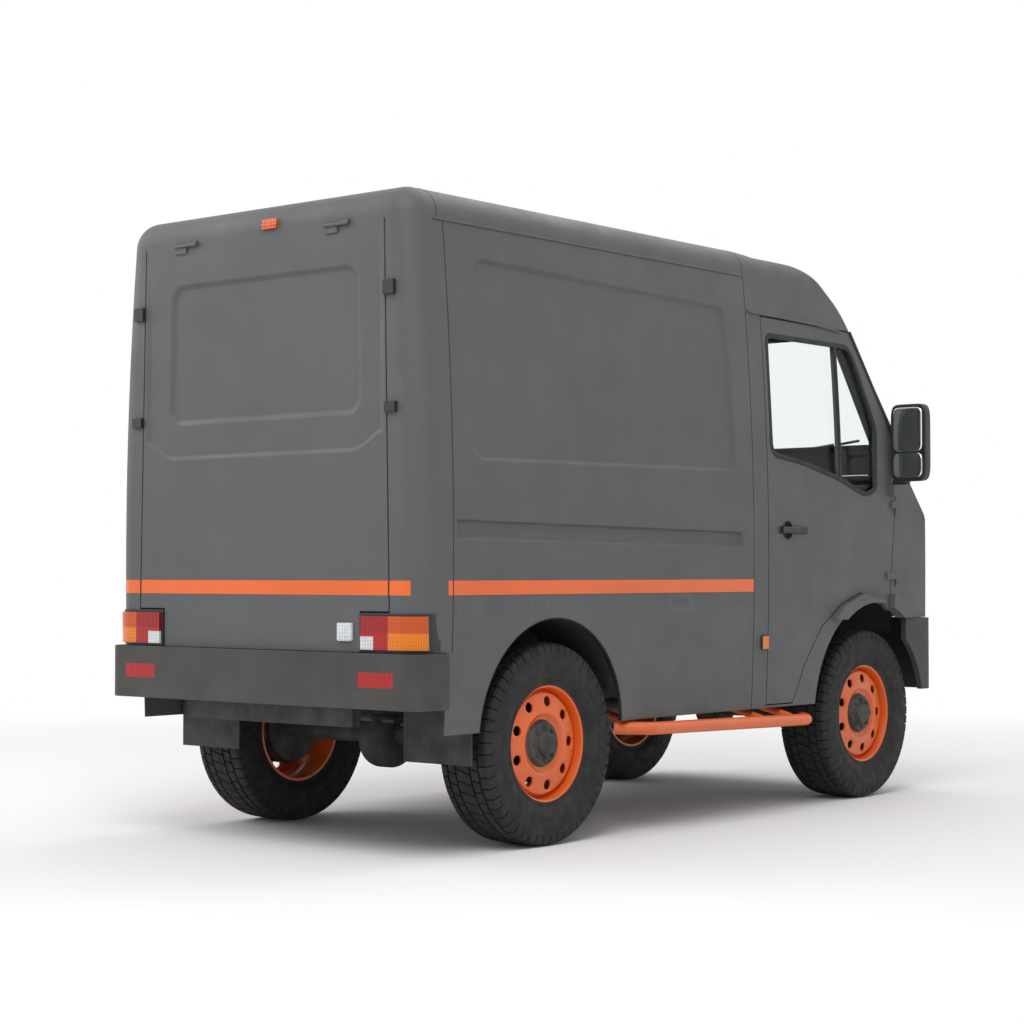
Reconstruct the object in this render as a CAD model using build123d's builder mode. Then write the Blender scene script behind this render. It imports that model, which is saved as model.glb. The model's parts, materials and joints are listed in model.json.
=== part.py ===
"""Compact high-roof mail delivery truck, built as separate pieces.

Millimetres.  +Z is up, the front faces -Y and the vehicle's right side is -X.
The origin is on the ground, at mid length and mid width.
"""
import os
from math import cos, radians, sin, sqrt

from build123d import *

# Overall sizes
rear_overhang = 756
wheelbase = 2170
front_overhang = 518
body_half_width = 768
widest_height = 1045
side_radius = 11741
roof_height = 2262
cab_roof_drop = 22
gutter_drop = 112
sill_height = 423
skin = 20
roof_edge_radius = 100
rear_corner_radius = 95
front_corner_radius = 110
rear_face_inset = 30
front_face_inset = 40

# Gaps and fits
panel_gap = 3
door_gap = 5
running_fit = 0.05
joint_clearance = 0.5

# Wheels
tyre_radius = 360
tyre_width = 228
track_half = 620
bead_radius = 203
flange_radius = 220
rim_inset = 19
disc_offset = 668
hand_hole_count = 9
spindle_radius = 25
kingpin_radius = 14
kingpin_offset = 545

# Chassis
rail_offset = 300
rail_width = 60
rail_bottom = 470
rail_top = 570
bed_bottom = 640
bed_thickness = 20
cab_floor_height = 840

# Openings in the body
rear_arch_radius = 400
front_arch_radius = 442
seam_from_axle = 930
post_seam_from_axle = 566
door_rear_from_axle = 822
door_front_from_axle = -186
tailgate_half_top = 597
tailgate_half_bottom = 622
tailgate_bottom = 698
door_depth = 75
door_rim = 25
glass_thickness = 4

# Worked out from the sizes above
overall_length = rear_overhang + wheelbase + front_overhang
rear_axle_y = overall_length / 2 - rear_overhang
front_axle_y = rear_axle_y - wheelbase
rear_bumper_y = overall_length / 2
rear_face = rear_bumper_y - rear_face_inset
front_face = -overall_length / 2 + front_face_inset
overall_width = 2 * body_half_width
arch_height = tyre_radius + 45
cab_roof_height = roof_height - cab_roof_drop
gutter_height = roof_height - gutter_drop
seam = front_axle_y + seam_from_axle
post_seam = rear_axle_y + post_seam_from_axle
door_rear = front_axle_y + door_rear_from_axle
door_front = front_axle_y + door_front_from_axle
cab = front_axle_y + 1204  # places in the cab are measured from here
far = 4000


def side_x(height):
    """Half width of the body skin at a height."""
    return body_half_width - (side_radius - sqrt(side_radius**2 - (height - widest_height) ** 2))


def block(x0, x1, y0, y1, z0, z1, mode=Mode.ADD):
    """A box between two corners, in the part being built."""
    with Locations(((x0 + x1) / 2, (y0 + y1) / 2, (z0 + z1) / 2)):
        return Box(x1 - x0, y1 - y0, z1 - z0, mode=mode)


def rod(start, end, radius, mode=Mode.ADD):
    """A round bar from one point to another, in the part being built."""
    line = Vector(*end) - Vector(*start)
    plane = Plane(origin=start, z_dir=line)
    with Locations(plane):
        return Cylinder(radius, line.length, align=(Align.CENTER, Align.CENTER, Align.MIN), mode=mode)


def outline(plane, points):
    """A flat face through a list of points."""
    with BuildSketch(plane) as sketch:
        with BuildLine():
            Polyline(*points, close=True)
        make_face()
    return sketch.sketch


def prism(plane, points, start, end, mode=Mode.ADD):
    """An outline carried between two distances along its plane's normal."""
    extrude(outline(plane.offset(start), points), amount=end - start, mode=mode)


def write(piece, label):
    """Labels a finished piece and writes its file."""
    piece.part.label = label
    export_step(piece.part, f"parts/{label}.step")


def write_pair(piece, label):
    """Writes the right-hand piece and its mirror image on the left."""
    write(piece, f"{label}_right")
    with BuildPart() as other:
        mirror(piece.part, about=Plane.YZ)
    write(other, f"{label}_left")


def both_sides(piece):
    """A part holding a piece and its mirror image."""
    with BuildPart() as pair:
        add(piece.part)
        mirror(piece.part, about=Plane.YZ)
    return pair


# Body envelope: the outer surface of the closed body, moved in by a distance
def cross_section(inset):
    low = -100
    top = roof_height - inset
    with BuildSketch(Plane.XZ) as sketch:
        with BuildLine():
            right = [(side_x(z) - inset, z) for z in (low, widest_height, top)]
            left = [(-x, z) for x, z in right]
            ThreePointArc(*right)
            Line(right[2], left[2])
            ThreePointArc(*left[::-1])
            Line(left[0], right[0])
        make_face()
        fillet(sketch.vertices().group_by(Axis.Y)[-1], roof_edge_radius - inset)
    return sketch.sketch


cab_profile = [
    (far, -far),
    (far, roof_height),
    (seam, roof_height),
    (seam - 130, cab_roof_height),
    (cab - 760, cab_roof_height),
    (cab - 1000, 2075),
    (cab - 1450, 1515),
    (cab - 1485, 1400),
    (cab - 1645, 1220),
    (front_face, 1110),
    (front_face, -far),
]


def side_profile(inset):
    with BuildSketch(Plane.YZ) as sketch:
        with BuildLine():
            Polyline(*cab_profile, close=True)
        make_face()
        for point, radius in ((cab_profile[4], 400), (cab_profile[5], 500), (cab_profile[9], 120)):
            corner = sketch.vertices().sort_by_distance(point)[0]
            fillet(corner, radius)
        if inset:
            offset(amount=-inset, kind=Kind.INTERSECTION, mode=Mode.REPLACE)
    return sketch.sketch


def plan_profile(inset):
    with BuildSketch(Plane.XY.offset(-100)) as sketch:
        with Locations((0, front_face + inset + far / 2)):
            Rectangle(overall_width + 200, far)
        front = sketch.vertices().group_by(Axis.Y)[0]
        fillet(front, front_corner_radius + 100 - inset)
    return sketch.sketch


def envelope(inset):
    with BuildPart() as solid:
        extrude(cross_section(inset), amount=far, both=True)
        block(-far, far, rear_face - inset, 3 * far, -far, 2 * far, mode=Mode.SUBTRACT)
        rear = solid.faces().sort_by(Axis.Y)[-1]
        fillet(rear.edges().sort_by(Axis.Z)[1:], rear_corner_radius - inset)
        extrude(side_profile(inset), amount=far / 2, both=True, mode=Mode.INTERSECT)
        extrude(plan_profile(inset), amount=far, mode=Mode.INTERSECT)
    return solid.part


def layer(outer, inner):
    """The body wall between two depths under the outer surface."""
    with BuildPart() as wall:
        add(envelope(outer))
        add(envelope(inner), mode=Mode.SUBTRACT)
        block(-far, far, -far, far, -200, sill_height, mode=Mode.SUBTRACT)
    return wall.part


os.makedirs("parts", exist_ok=True)
body_wall = layer(0, skin)
door_wall = layer(0, door_depth)
body_inside = envelope(skin)
door_inside = envelope(door_depth)

# Right side panel, from the cab seam to the corner post
arch_centre = (rear_axle_y + 14, arch_height)
side_outline = [
    (seam, sill_height),
    (post_seam + 28, sill_height),
    (post_seam + 28, tailgate_bottom),
    (post_seam, tailgate_bottom),
    (post_seam, gutter_height),
    (seam, gutter_height),
]
with BuildPart() as side_panel:
    add(body_wall)
    prism(Plane.YZ, side_outline, -far, 0, mode=Mode.INTERSECT)
    rod((-far, *arch_centre), (0, *arch_centre), rear_arch_radius, mode=Mode.SUBTRACT)
write(both_sides(side_panel), "side_panels")

# Rear corner post, with the foot that carries the rear lamp
lamp_inner = 496
lamp_top = 830
post_outline = [
    (-far / 4, tailgate_bottom),
    (-lamp_inner, tailgate_bottom),
    (-lamp_inner, lamp_top),
    (-tailgate_half_bottom - 6, lamp_top),
    (-tailgate_half_top - 6, gutter_height),
    (-far / 4, gutter_height),
]
with BuildPart() as corner_post:
    add(body_wall)
    block(-far, 0, post_seam, far, 0, far, mode=Mode.INTERSECT)
    prism(Plane.XZ, post_outline, -far, far, mode=Mode.INTERSECT)
write(both_sides(corner_post), "rear_corner_posts")

# Roof skins
header_seam = post_seam + 28
with BuildPart() as cargo_roof:
    add(body_wall)
    block(-far, far, seam, header_seam, gutter_height, far, mode=Mode.INTERSECT)
write(cargo_roof, "cargo_roof")

tailgate_hinge = (rear_face + 8, gutter_height - 3)
hinge_radius = 6
hinge_pin_radius = 3
hinge_centres = (-380, 380)
with BuildPart() as rear_header:
    add(body_wall)
    block(-far, far, header_seam, far, gutter_height, far, mode=Mode.INTERSECT)
    for centre in hinge_centres:
        rod((centre - 60, *tailgate_hinge), (centre - 5, *tailgate_hinge), hinge_radius)
        rod((centre - 5, *tailgate_hinge), (centre + 55, *tailgate_hinge), hinge_pin_radius)
        block(centre - 60, centre - 5, rear_face, rear_face + 8, gutter_height, gutter_height + 12)
write(rear_header, "rear_roof_header")

marker_half = 38
with BuildPart() as marker_lamp:
    add(layer(-10, 0))
    with Locations((-55, rear_face, 2183)):
        Cylinder(marker_half, 120, rotation=(90, 0, 0), mode=Mode.INTERSECT)
    block(-200, 200, 0, far, 2165, 2201, mode=Mode.INTERSECT)

cab_rail = 2005
with BuildPart() as cab_roof:
    add(body_wall)
    block(-far, far, cab - 1010, seam, cab_rail, far, mode=Mode.INTERSECT)
write(cab_roof, "cab_roof")

# Tailgate: outer skin, inner frame, latch and inside lever
tailgate_top = gutter_height - 6
tailgate_outline = [
    (-lamp_inner + 6, tailgate_bottom),
    (lamp_inner - 6, tailgate_bottom),
    (lamp_inner - 6, lamp_top + 6),
    (tailgate_half_bottom, lamp_top + 6),
    (tailgate_half_top, tailgate_top),
    (-tailgate_half_top, tailgate_top),
    (-tailgate_half_bottom, lamp_top + 6),
    (-lamp_inner + 6, lamp_top + 6),
]
with BuildPart() as tailgate_skin:
    add(body_wall)
    block(-far, far, post_seam, far, 0, far, mode=Mode.INTERSECT)
    prism(Plane.XZ, tailgate_outline, -far, far, mode=Mode.INTERSECT)
with BuildPart() as hinge_leaves:
    for centre in hinge_centres:
        start = centre - 5 + joint_clearance
        rod((start, *tailgate_hinge), (centre + 55, *tailgate_hinge), hinge_radius)
        block(start, centre + 55, rear_face, rear_face + 8, tailgate_top - 26, tailgate_top + 2)
        bore = hinge_pin_radius + running_fit
        rod((start - 5, *tailgate_hinge), (centre + 60, *tailgate_hinge), bore, mode=Mode.SUBTRACT)
with BuildPart() as tailgate_panel:
    add(tailgate_skin.part)
    add(hinge_leaves.part)
write(tailgate_panel, "tailgate_skin")

frame_back = rear_face - skin
frame_front = frame_back - 25
frame_half = tailgate_half_top - 22
with BuildPart() as tailgate_frame:
    block(-frame_half, frame_half, frame_front, frame_back, lamp_top + 20, tailgate_top - 25)
    block(-lamp_inner + 24, lamp_inner - 24, frame_front, frame_back, tailgate_bottom + 20, lamp_top + 20)
    block(-45, 45, frame_front - 30, frame_front, tailgate_bottom + 24, tailgate_bottom + 90)
write(tailgate_frame, "tailgate_frame")

lever_z = tailgate_bottom + 100
with BuildPart() as tailgate_lever:
    rod((0, frame_front, lever_z + 20), (0, frame_front - 18, lever_z + 20), 14)
    block(-8, 110, frame_front - 28, frame_front - 18, lever_z + 8, lever_z + 32)
write(tailgate_lever, "tailgate_lever")

# Black guide blocks bridging the tailgate's side gaps
with BuildPart() as guide_block:
    for z0, z1, half in ((1891, 1939, tailgate_half_top + 7), (1497, 1532, tailgate_half_top + 15)):
        block(-half - 48, -half, rear_face, rear_face + 14, z0, z1)
write(both_sides(guide_block), "tailgate_guide_blocks")

# Rear bumper with reflectors let into its face
bumper_half = body_half_width + 8
bumper_wall = 24
bumper_low = 510
bumper_high = 695
with BuildPart() as rear_bumper:
    block(-bumper_half, bumper_half, post_seam + 30, rear_bumper_y, bumper_low, bumper_high)
    corners = rear_bumper.edges().filter_by(Axis.Z).group_by(Axis.Y)[-1]
    fillet(corners, 70)
    block(-bumper_half + bumper_wall, bumper_half - bumper_wall, 0, rear_face, 0, far, mode=Mode.SUBTRACT)
    for side in (-1, 1):
        block(side * 590 - 80, side * 590 + 80, rear_bumper_y - 6, far, 583, 633, mode=Mode.SUBTRACT)
write(rear_bumper, "rear_bumper")

# Rear lamps follow the corner post's curve
lamp_outer = body_half_width - 4
lamp_base_wall = layer(-5, 0)
lamp_lens_wall = layer(-14, -5)


def lamp_region(wall, x0, x1, z0, z1):
    with BuildPart() as lens:
        add(wall)
        block(-x1, -x0, post_seam + 60, far, z0, z1, mode=Mode.INTERSECT)
    return both_sides(lens)


write(lamp_region(lamp_base_wall, lamp_inner - 3, lamp_outer, 702, 828), "rear_lamp_bases")
with BuildPart() as side_marker:
    add(layer(-9, 0))
    block(-far, 0, door_rear + 8, door_rear + 52, 660, 711, mode=Mode.INTERSECT)
with BuildPart() as amber_lenses:
    add(lamp_region(lamp_lens_wall, 632, lamp_outer - 6, 708, 820).part)
    add(marker_lamp.part)
    add(both_sides(side_marker).part)
write(amber_lenses, "amber_lenses")
with BuildPart() as red_lenses:
    add(lamp_region(lamp_lens_wall, 505, 632, 708, 820).part)
    for side in (-1, 1):
        block(side * 535 - 30, side * 535 + 30, post_seam, far, 0, 752, mode=Mode.SUBTRACT)
        block(side * 590 - 80, side * 590 + 80, rear_bumper_y - 6, rear_bumper_y, 583, 633)
write(red_lenses, "red_lenses")
write(lamp_region(lamp_lens_wall, 505, 565, 708, 752), "clear_lenses")

# Floor, bearers and rear wheel boxes
box_inner = 474
box_radius = rear_arch_radius + 6
with BuildPart() as cargo_floor:
    block(-far, far, seam + 20, rear_face - 50, bed_bottom, bed_bottom + bed_thickness)
    add(body_inside, mode=Mode.INTERSECT)
    for side in (-1, 1):
        rod((side * box_inner, *arch_centre), (side * far, *arch_centre), box_radius, mode=Mode.SUBTRACT)
    block(-30, 30, frame_front - 30, frame_front, bed_bottom + bed_thickness, tailgate_bottom + 20)
    for y in (seam + 74, seam + 474, post_seam - 32):
        block(-body_half_width + 68, body_half_width - 68, y - 25, y + 25, rail_top, bed_bottom)
    block(-430, 430, rear_axle_y - 25, rear_axle_y + 25, rail_top, bed_bottom)
write(cargo_floor, "cargo_floor")

with BuildPart() as wheel_box:
    rod((-far, *arch_centre), (-box_inner, *arch_centre), box_radius)
    add(body_inside, mode=Mode.INTERSECT)
    rod((-far, *arch_centre), (-box_inner - 6, *arch_centre), rear_arch_radius, mode=Mode.SUBTRACT)
    block(-far, far, -far, far, -far, bed_bottom - 100, mode=Mode.SUBTRACT)
write(both_sides(wheel_box), "rear_wheel_boxes")

# Chassis frame
rear_spring_half = 480
front_spring_half = 380
rail_rear = rear_face - 44
flap_y = rear_axle_y + 420
rail_front = front_face
with BuildPart() as chassis:
    for side in (-1, 1):
        middle = side * rail_offset
        block(middle - rail_width / 2, middle + rail_width / 2, rail_front, rail_rear, rail_bottom, rail_top)
    for y in (seam + 374, seam + 834, rear_axle_y + 334):
        block(-rail_offset, rail_offset, y - 25, y + 25, rail_top - 55, rail_top)
    block(-rail_offset, rail_offset, cab - 640, cab - 600, rail_bottom - 30, rail_bottom + 10)
    block(-415, 415, rail_rear - 40, rail_rear, rail_bottom - 30, rail_bottom + 40)
    block(-rail_offset, rail_offset, rail_front, rail_front + 40, rail_bottom + 10, rail_top - 10)
    block(-body_half_width + 68, body_half_width - 68, flap_y - 6, flap_y + 13, 493, 512)
    for y in (seam + 154, seam + 494):
        block(rail_offset, 345, y - 20, y + 20, 500, 540)
    for side in (-1, 1):
        block(side * rail_offset - 30, side * rail_offset + 30, rail_rear, rear_face, 520, rail_top)
    for axle_y, half_length in ((rear_axle_y, rear_spring_half), (front_axle_y, front_spring_half)):
        for side in (-1, 1):
            for end in (-1, 1):
                y = axle_y + end * (half_length + 10)
                x = side * rail_offset
                rod((x - 32, y, rail_bottom - 12), (x + 32, y, rail_bottom - 12), 10)
                block(x - 26, x + 26, y - 10, y + 10, rail_bottom - 14, rail_bottom)
write(chassis, "chassis_frame")

# Rear axle and its springs
differential_x = 60
nose_height = tyre_radius + 10
with BuildPart() as rear_axle:
    rod((-560, rear_axle_y, tyre_radius), (560, rear_axle_y, tyre_radius), 38)
    bowl_height = tyre_radius - 15
    bowl_right = (differential_x - 70, rear_axle_y, bowl_height)
    rod(bowl_right, (differential_x + 70, rear_axle_y, bowl_height), 112)
    fillet(rear_axle.edges().filter_by(GeomType.CIRCLE).filter_by(lambda edge: edge.radius > 100), 45)
    rod((differential_x, rear_axle_y, nose_height), (differential_x, rear_axle_y - 146, nose_height), 45)
    for side in (-1, 1):
        rod((side * 560, rear_axle_y, tyre_radius), (side * 574, rear_axle_y, tyre_radius), 130)
        rod((side * 574, rear_axle_y, tyre_radius), (side * 690, rear_axle_y, tyre_radius), spindle_radius)
write(rear_axle, "rear_axle")

leaf_width = 56
leaf_thickness = 9


def leaf_pack(axle_y, half_length, leaves):
    """Curved leaves over both ends of an axle, the longest on top."""
    seat = tyre_radius + 38
    rise = rail_bottom - seat - leaves * leaf_thickness - 4
    start = -rail_offset - leaf_width / 2
    with BuildPart() as pack:
        for count in range(leaves):
            low = seat + count * leaf_thickness
            reach = half_length * (count + 2) / (leaves + 1)
            tip = low + rise * (reach / half_length) ** 2
            with BuildSketch(Plane.YZ.offset(start)) as leaf:
                with BuildLine():
                    ThreePointArc((axle_y - reach, tip), (axle_y, low), (axle_y + reach, tip))
                    Line((axle_y + reach, tip), (axle_y + reach, tip + leaf_thickness))
                    ThreePointArc(
                        (axle_y + reach, tip + leaf_thickness),
                        (axle_y, low + leaf_thickness),
                        (axle_y - reach, tip + leaf_thickness),
                    )
                    Line((axle_y - reach, tip + leaf_thickness), (axle_y - reach, tip))
                make_face()
            extrude(amount=leaf_width)
    return both_sides(pack)


with BuildPart() as leaf_springs:
    add(leaf_pack(rear_axle_y, rear_spring_half, 4).part)
    add(leaf_pack(front_axle_y, front_spring_half, 4).part)
write(leaf_springs, "leaf_springs")

with BuildPart() as shock_absorbers:
    for axle_y in (rear_axle_y, front_axle_y):
        for side in (-1, 1):
            low = (side * 400, axle_y + 40, tyre_radius + 36)
            high = (side * 362, axle_y + 130, rail_top - 20)
            rod(low, high, 24)
            rod(high, (side * (rail_offset + rail_width / 2), high[1], high[2]), 12)
write(shock_absorbers, "shock_absorbers")

# Front axle with kingpin yokes, and the steered knuckles
yoke_half = 70
arm_half = 17
with BuildPart() as front_axle:
    rod((-490, front_axle_y, tyre_radius), (490, front_axle_y, tyre_radius), 38)
    bowl_height = tyre_radius - 5
    bowl_right = (differential_x - 60, front_axle_y, bowl_height)
    rod(bowl_right, (differential_x + 60, front_axle_y, bowl_height), 95)
    fillet(front_axle.edges().filter_by(GeomType.CIRCLE).filter_by(lambda edge: edge.radius > 90), 35)
    for side in (-1, 1):
        web = sorted((side * 470, side * 492))
        yoke_low = tyre_radius - yoke_half
        yoke_high = tyre_radius + yoke_half
        block(*web, front_axle_y - 24, front_axle_y + 24, yoke_low, yoke_high)
        arm_ends = sorted((side * 470, side * (kingpin_offset + arm_half - 1)))
        for level in (-1, 1):
            z_ends = sorted((tyre_radius + level * 48, tyre_radius + level * yoke_half))
            block(*arm_ends, front_axle_y - arm_half, front_axle_y + arm_half, *z_ends)
        foot = (side * kingpin_offset, front_axle_y, yoke_low)
        head = (side * kingpin_offset, front_axle_y, yoke_high)
        rod(foot, head, kingpin_radius)
write(front_axle, "front_axle")

with BuildPart() as knuckle:
    with Locations((-kingpin_offset, front_axle_y, tyre_radius)):
        Cylinder(28, 2 * 48 - 1)
    rod((-kingpin_offset, front_axle_y, tyre_radius), (-574, front_axle_y, tyre_radius), 40)
    rod((-574 + 6, front_axle_y, tyre_radius), (-574, front_axle_y, tyre_radius), 130)
    rod((-574, front_axle_y, tyre_radius), (-690, front_axle_y, tyre_radius), spindle_radius)
    with Locations((-kingpin_offset, front_axle_y, tyre_radius)):
        Cylinder(kingpin_radius + running_fit, 4 * yoke_half, mode=Mode.SUBTRACT)
write_pair(knuckle, "steering_knuckle")

# Wheels: each profile is turned about the axle, measured out from the centre line
inner_face = track_half - tyre_width / 2
outer_face = track_half + tyre_width / 2
rim_outer = outer_face - rim_inset
rim_inner = 2 * track_half - rim_outer


def turned(points, axle_y):
    """A profile of (distance out, radius) points turned about an axle on the right."""
    with BuildPart() as ring:
        with BuildSketch(Plane.XY):
            with BuildLine():
                Polyline(*[(-out, radius) for out, radius in points], close=True)
            make_face()
        revolve(axis=Axis.X)
    moved = ring.part.moved(Location((0, axle_y, tyre_radius)))
    with BuildPart() as placed:
        add(moved)
    return placed


tyre_profile = [
    (rim_inner + 8.5, bead_radius),
    (rim_inner + 8.5, flange_radius + 1),
    (inner_face, 245),
    (inner_face, 300),
    (inner_face + 12, tyre_radius),
    (outer_face - 12, tyre_radius),
    (outer_face, 300),
    (outer_face, 245),
    (rim_outer - 8.5, flange_radius + 1),
    (rim_outer - 8.5, bead_radius),
]
rim_profile = [
    (rim_inner, bead_radius - 8),
    (rim_inner, flange_radius),
    (rim_inner + 8, flange_radius),
    (rim_inner + 8, bead_radius),
    (rim_outer - 8, bead_radius),
    (rim_outer - 8, flange_radius),
    (rim_outer, flange_radius),
    (rim_outer, bead_radius - 8),
    (disc_offset + 8, bead_radius - 8),
    (disc_offset + 8, 75),
    (disc_offset, 75),
    (disc_offset, bead_radius - 8),
]
hub_profile = [
    (580, spindle_radius + running_fit),
    (580, 134),
    (586, 140),
    (644, 140),
    (650, 134),
    (650, 95),
    (disc_offset, 95),
    (disc_offset, 74.5),
    (disc_offset + 28, 74.5),
    (disc_offset + 34, 50),
    (rim_outer, 46),
    (rim_outer, 0),
    (692, 0),
    (692, spindle_radius + running_fit),
]
for axle_y, end in ((front_axle_y, "front"), (rear_axle_y, "rear")):
    write_pair(turned(tyre_profile, axle_y), f"{end}_tyre")
    with BuildPart() as rim:
        add(turned(rim_profile, axle_y).part)
        for hole in range(hand_hole_count):
            turn = radians(360 / hand_hole_count * hole)
            y = axle_y + 150 * cos(turn)
            z = tyre_radius + 150 * sin(turn)
            rod((-disc_offset + 20, y, z), (-disc_offset - 30, y, z), 17, mode=Mode.SUBTRACT)
        add(turned(hub_profile, axle_y).part)
    write_pair(rim, f"{end}_rim")

# Driveline
with BuildPart() as engine:
    block(-220, 220, cab - 1480, cab - 960, rail_top + 5, cab_floor_height - 12)
    block(-150, 150, cab - 1440, cab - 1000, rail_bottom + 30, rail_top + 5)
    with BuildSketch(Plane.XZ.offset(960 - cab)) as wide:
        with Locations((0, 600)):
            Rectangle(300, 260)
    with BuildSketch(Plane.XZ.offset(500 - cab)) as narrow:
        with Locations((0, 560)):
            Rectangle(180, 130)
    loft([wide.sketch, narrow.sketch])
    rod((differential_x, cab - 500, 545), (differential_x, cab - 490, 545), 50)
    block(-20, 20, cab - 640, cab - 600, rail_bottom + 10, rail_bottom + 40)
write(engine, "engine")
with BuildPart() as propshaft:
    shaft_end = rear_axle_y - 146
    rod((differential_x, cab - 490, 545), (differential_x, cab - 470, 545), 28)
    rod((differential_x, cab - 474, 545), (differential_x, shaft_end - 14, nose_height), 25)
    rod((differential_x, shaft_end - 20, nose_height), (differential_x, shaft_end, nose_height), 28)
write(propshaft, "propshaft")
with BuildPart() as exhaust:
    rod((-170, cab - 1000, 400), (-170, seam + 174, 400), 24)
    rod((-170, seam + 174, 400), (-170, seam + 694, 400), 62)
    rod((-170, seam + 694, 400), (-170, seam + 834, 400), 24)
    rod((-170, cab - 1000, 380), (-170, cab - 1000, rail_bottom + 30), 24)
    block(-178, -162, seam + 359, seam + 389, 440, rail_top - 55)
write(exhaust, "exhaust")
with BuildPart() as fuel_tank:
    block(345, 660, seam + 44, seam + 604, 340, rail_top - 4)
    fillet(fuel_tank.edges().filter_by(Axis.Y), 40)
write(fuel_tank, "fuel_tank")

# Mudflaps behind the rear wheels
with BuildPart() as mudflap:
    block(-725, -415, flap_y, flap_y + 7, 309, 493)
write(both_sides(mudflap), "mudflaps")
# Cab outlines, seen from the side: distance along the truck and height
door_outline = [
    (door_rear, 437),
    (cab - 572, 437),
    (cab - 656, 590),
    (cab - 781, 742),
    (cab - 940, 834),
    (cab - 1087, 879),
    (cab - 1254, 852),
    (cab - 1330, 800),
    (cab - 1352, 1019),
    (door_front, 1282),
    (door_front, 1545),
    (cab - 1060, 1988),
    (door_rear, 1996),
]
window_outline = [
    (cab - 414, 1924),
    (cab - 1045, 1924),
    (cab - 1100, 1850),
    (cab - 1240, 1590),
    (cab - 1228, 1322),
    (cab - 1133, 1296),
    (cab - 917, 1362),
    (cab - 647, 1415),
    (cab - 439, 1439),
    (cab - 414, 1470),
]
door_inner = 648
divider_y = cab - 940
divider_half = 7
handle_y = cab - 560
handle_z = 1137
handle_depth = 15.5


def moved_outline(points, distance):
    """The outline grown outwards, or shrunk where the distance is negative."""
    with BuildSketch(Plane.YZ) as grown:
        with BuildLine():
            Polyline(*points, close=True)
        make_face()
        offset(amount=distance, kind=Kind.INTERSECTION, mode=Mode.REPLACE)
    return grown.sketch


front_arch = (front_axle_y + 14, arch_height - 10)


def cut_front_arch():
    rod((-far, *front_arch), (far, *front_arch), front_arch_radius, mode=Mode.SUBTRACT)


def cut_door_openings():
    for side in (-1, 1):
        shape = moved_outline(door_outline, door_gap).moved(Location((side * door_inner, 0, 0)))
        extrude(shape, amount=far, dir=(side, 0, 0), mode=Mode.SUBTRACT)


# Cab shell: door posts, sills, windscreen surround and the bulkhead behind the seats
wing_rear = cab - 1331
wing_half = 585
scuttle_height = 1400
bonnet_hinge = (cab - 1488, scuttle_height - 1)
bonnet_hinge_centres = (-400, 400)
bulkhead_thickness = 18
glass_out = Vector(0, -0.7798, 0.6264)
wiper_foot = Vector(0, cab - 1467, 1478)
screen_half = body_half_width - 128
screen = (-screen_half, screen_half, cab - 1440, cab - 1060, 1530, 2000)
with BuildPart() as cab_shell:
    add(body_wall)
    block(-far, far, -far, seam, sill_height, far, mode=Mode.INTERSECT)
    block(-far, far, cab - 1010, seam, cab_rail, far, mode=Mode.SUBTRACT)
    block(-far, far, -far, wing_rear, 0, scuttle_height, mode=Mode.SUBTRACT)
    cut_door_openings()
    cut_front_arch()
    block(*screen, mode=Mode.SUBTRACT)
    rod(wiper_foot - glass_out * 60, wiper_foot + glass_out * 60, 12 + running_fit, mode=Mode.SUBTRACT)
    for centre in bonnet_hinge_centres:
        block(centre - 31, centre + 2, cab - 1500, cab - 1475, 1390, 1406, mode=Mode.SUBTRACT)
        rod((centre + 2, *bonnet_hinge), (centre + 32, *bonnet_hinge), 5)
        rod((centre - 29, *bonnet_hinge), (centre + 2, *bonnet_hinge), 2.5)
with BuildPart() as bulkhead:
    block(-far, far, seam - bulkhead_thickness, seam, bed_bottom, gutter_height)
    add(body_inside, mode=Mode.INTERSECT)
    add(cab_shell.part)
write(bulkhead, "cab_shell")

with BuildPart() as windscreen:
    add(layer(7, 12))
    block(*screen, mode=Mode.INTERSECT)
write(windscreen, "windscreen")

# Door hinges: knuckles and pins on the wings, leaves on the doors
door_hinge = (-body_half_width - 2, cab - 1388)
door_hinge_radius = 6
door_pin_radius = 3
door_knuckle = 30
door_hinges = ((905, 1330), (1215, 1375))


def door_knuckles(fixed):
    """The wing's knuckles and pins, or the door's knuckles and leaves."""
    relief = door_hinge_radius + joint_clearance
    bore = door_pin_radius + running_fit
    outer = door_hinge[0] - door_hinge_radius
    for low, leaf_start in door_hinges:
        middle = low + door_knuckle
        high = middle + door_knuckle
        fixed_top = middle - joint_clearance
        leaf_end = cab - leaf_start + 25
        if fixed:
            rod((*door_hinge, fixed_top), (*door_hinge, high + joint_clearance), relief, mode=Mode.SUBTRACT)
            rod((*door_hinge, low), (*door_hinge, fixed_top), door_hinge_radius)
            rod((*door_hinge, fixed_top), (*door_hinge, high), door_pin_radius)
        else:
            rod((*door_hinge, low - 1), (*door_hinge, fixed_top), relief, mode=Mode.SUBTRACT)
            rod((*door_hinge, middle), (*door_hinge, high), door_hinge_radius)
            block(outer, door_hinge[0] + 1.5, door_hinge[1], leaf_end, middle, high)
            block(outer, door_hinge[0] + 10, cab - leaf_start, leaf_end, middle, high)
            rod((*door_hinge, middle - 5), (*door_hinge, high + 5), bore, mode=Mode.SUBTRACT)


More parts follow.
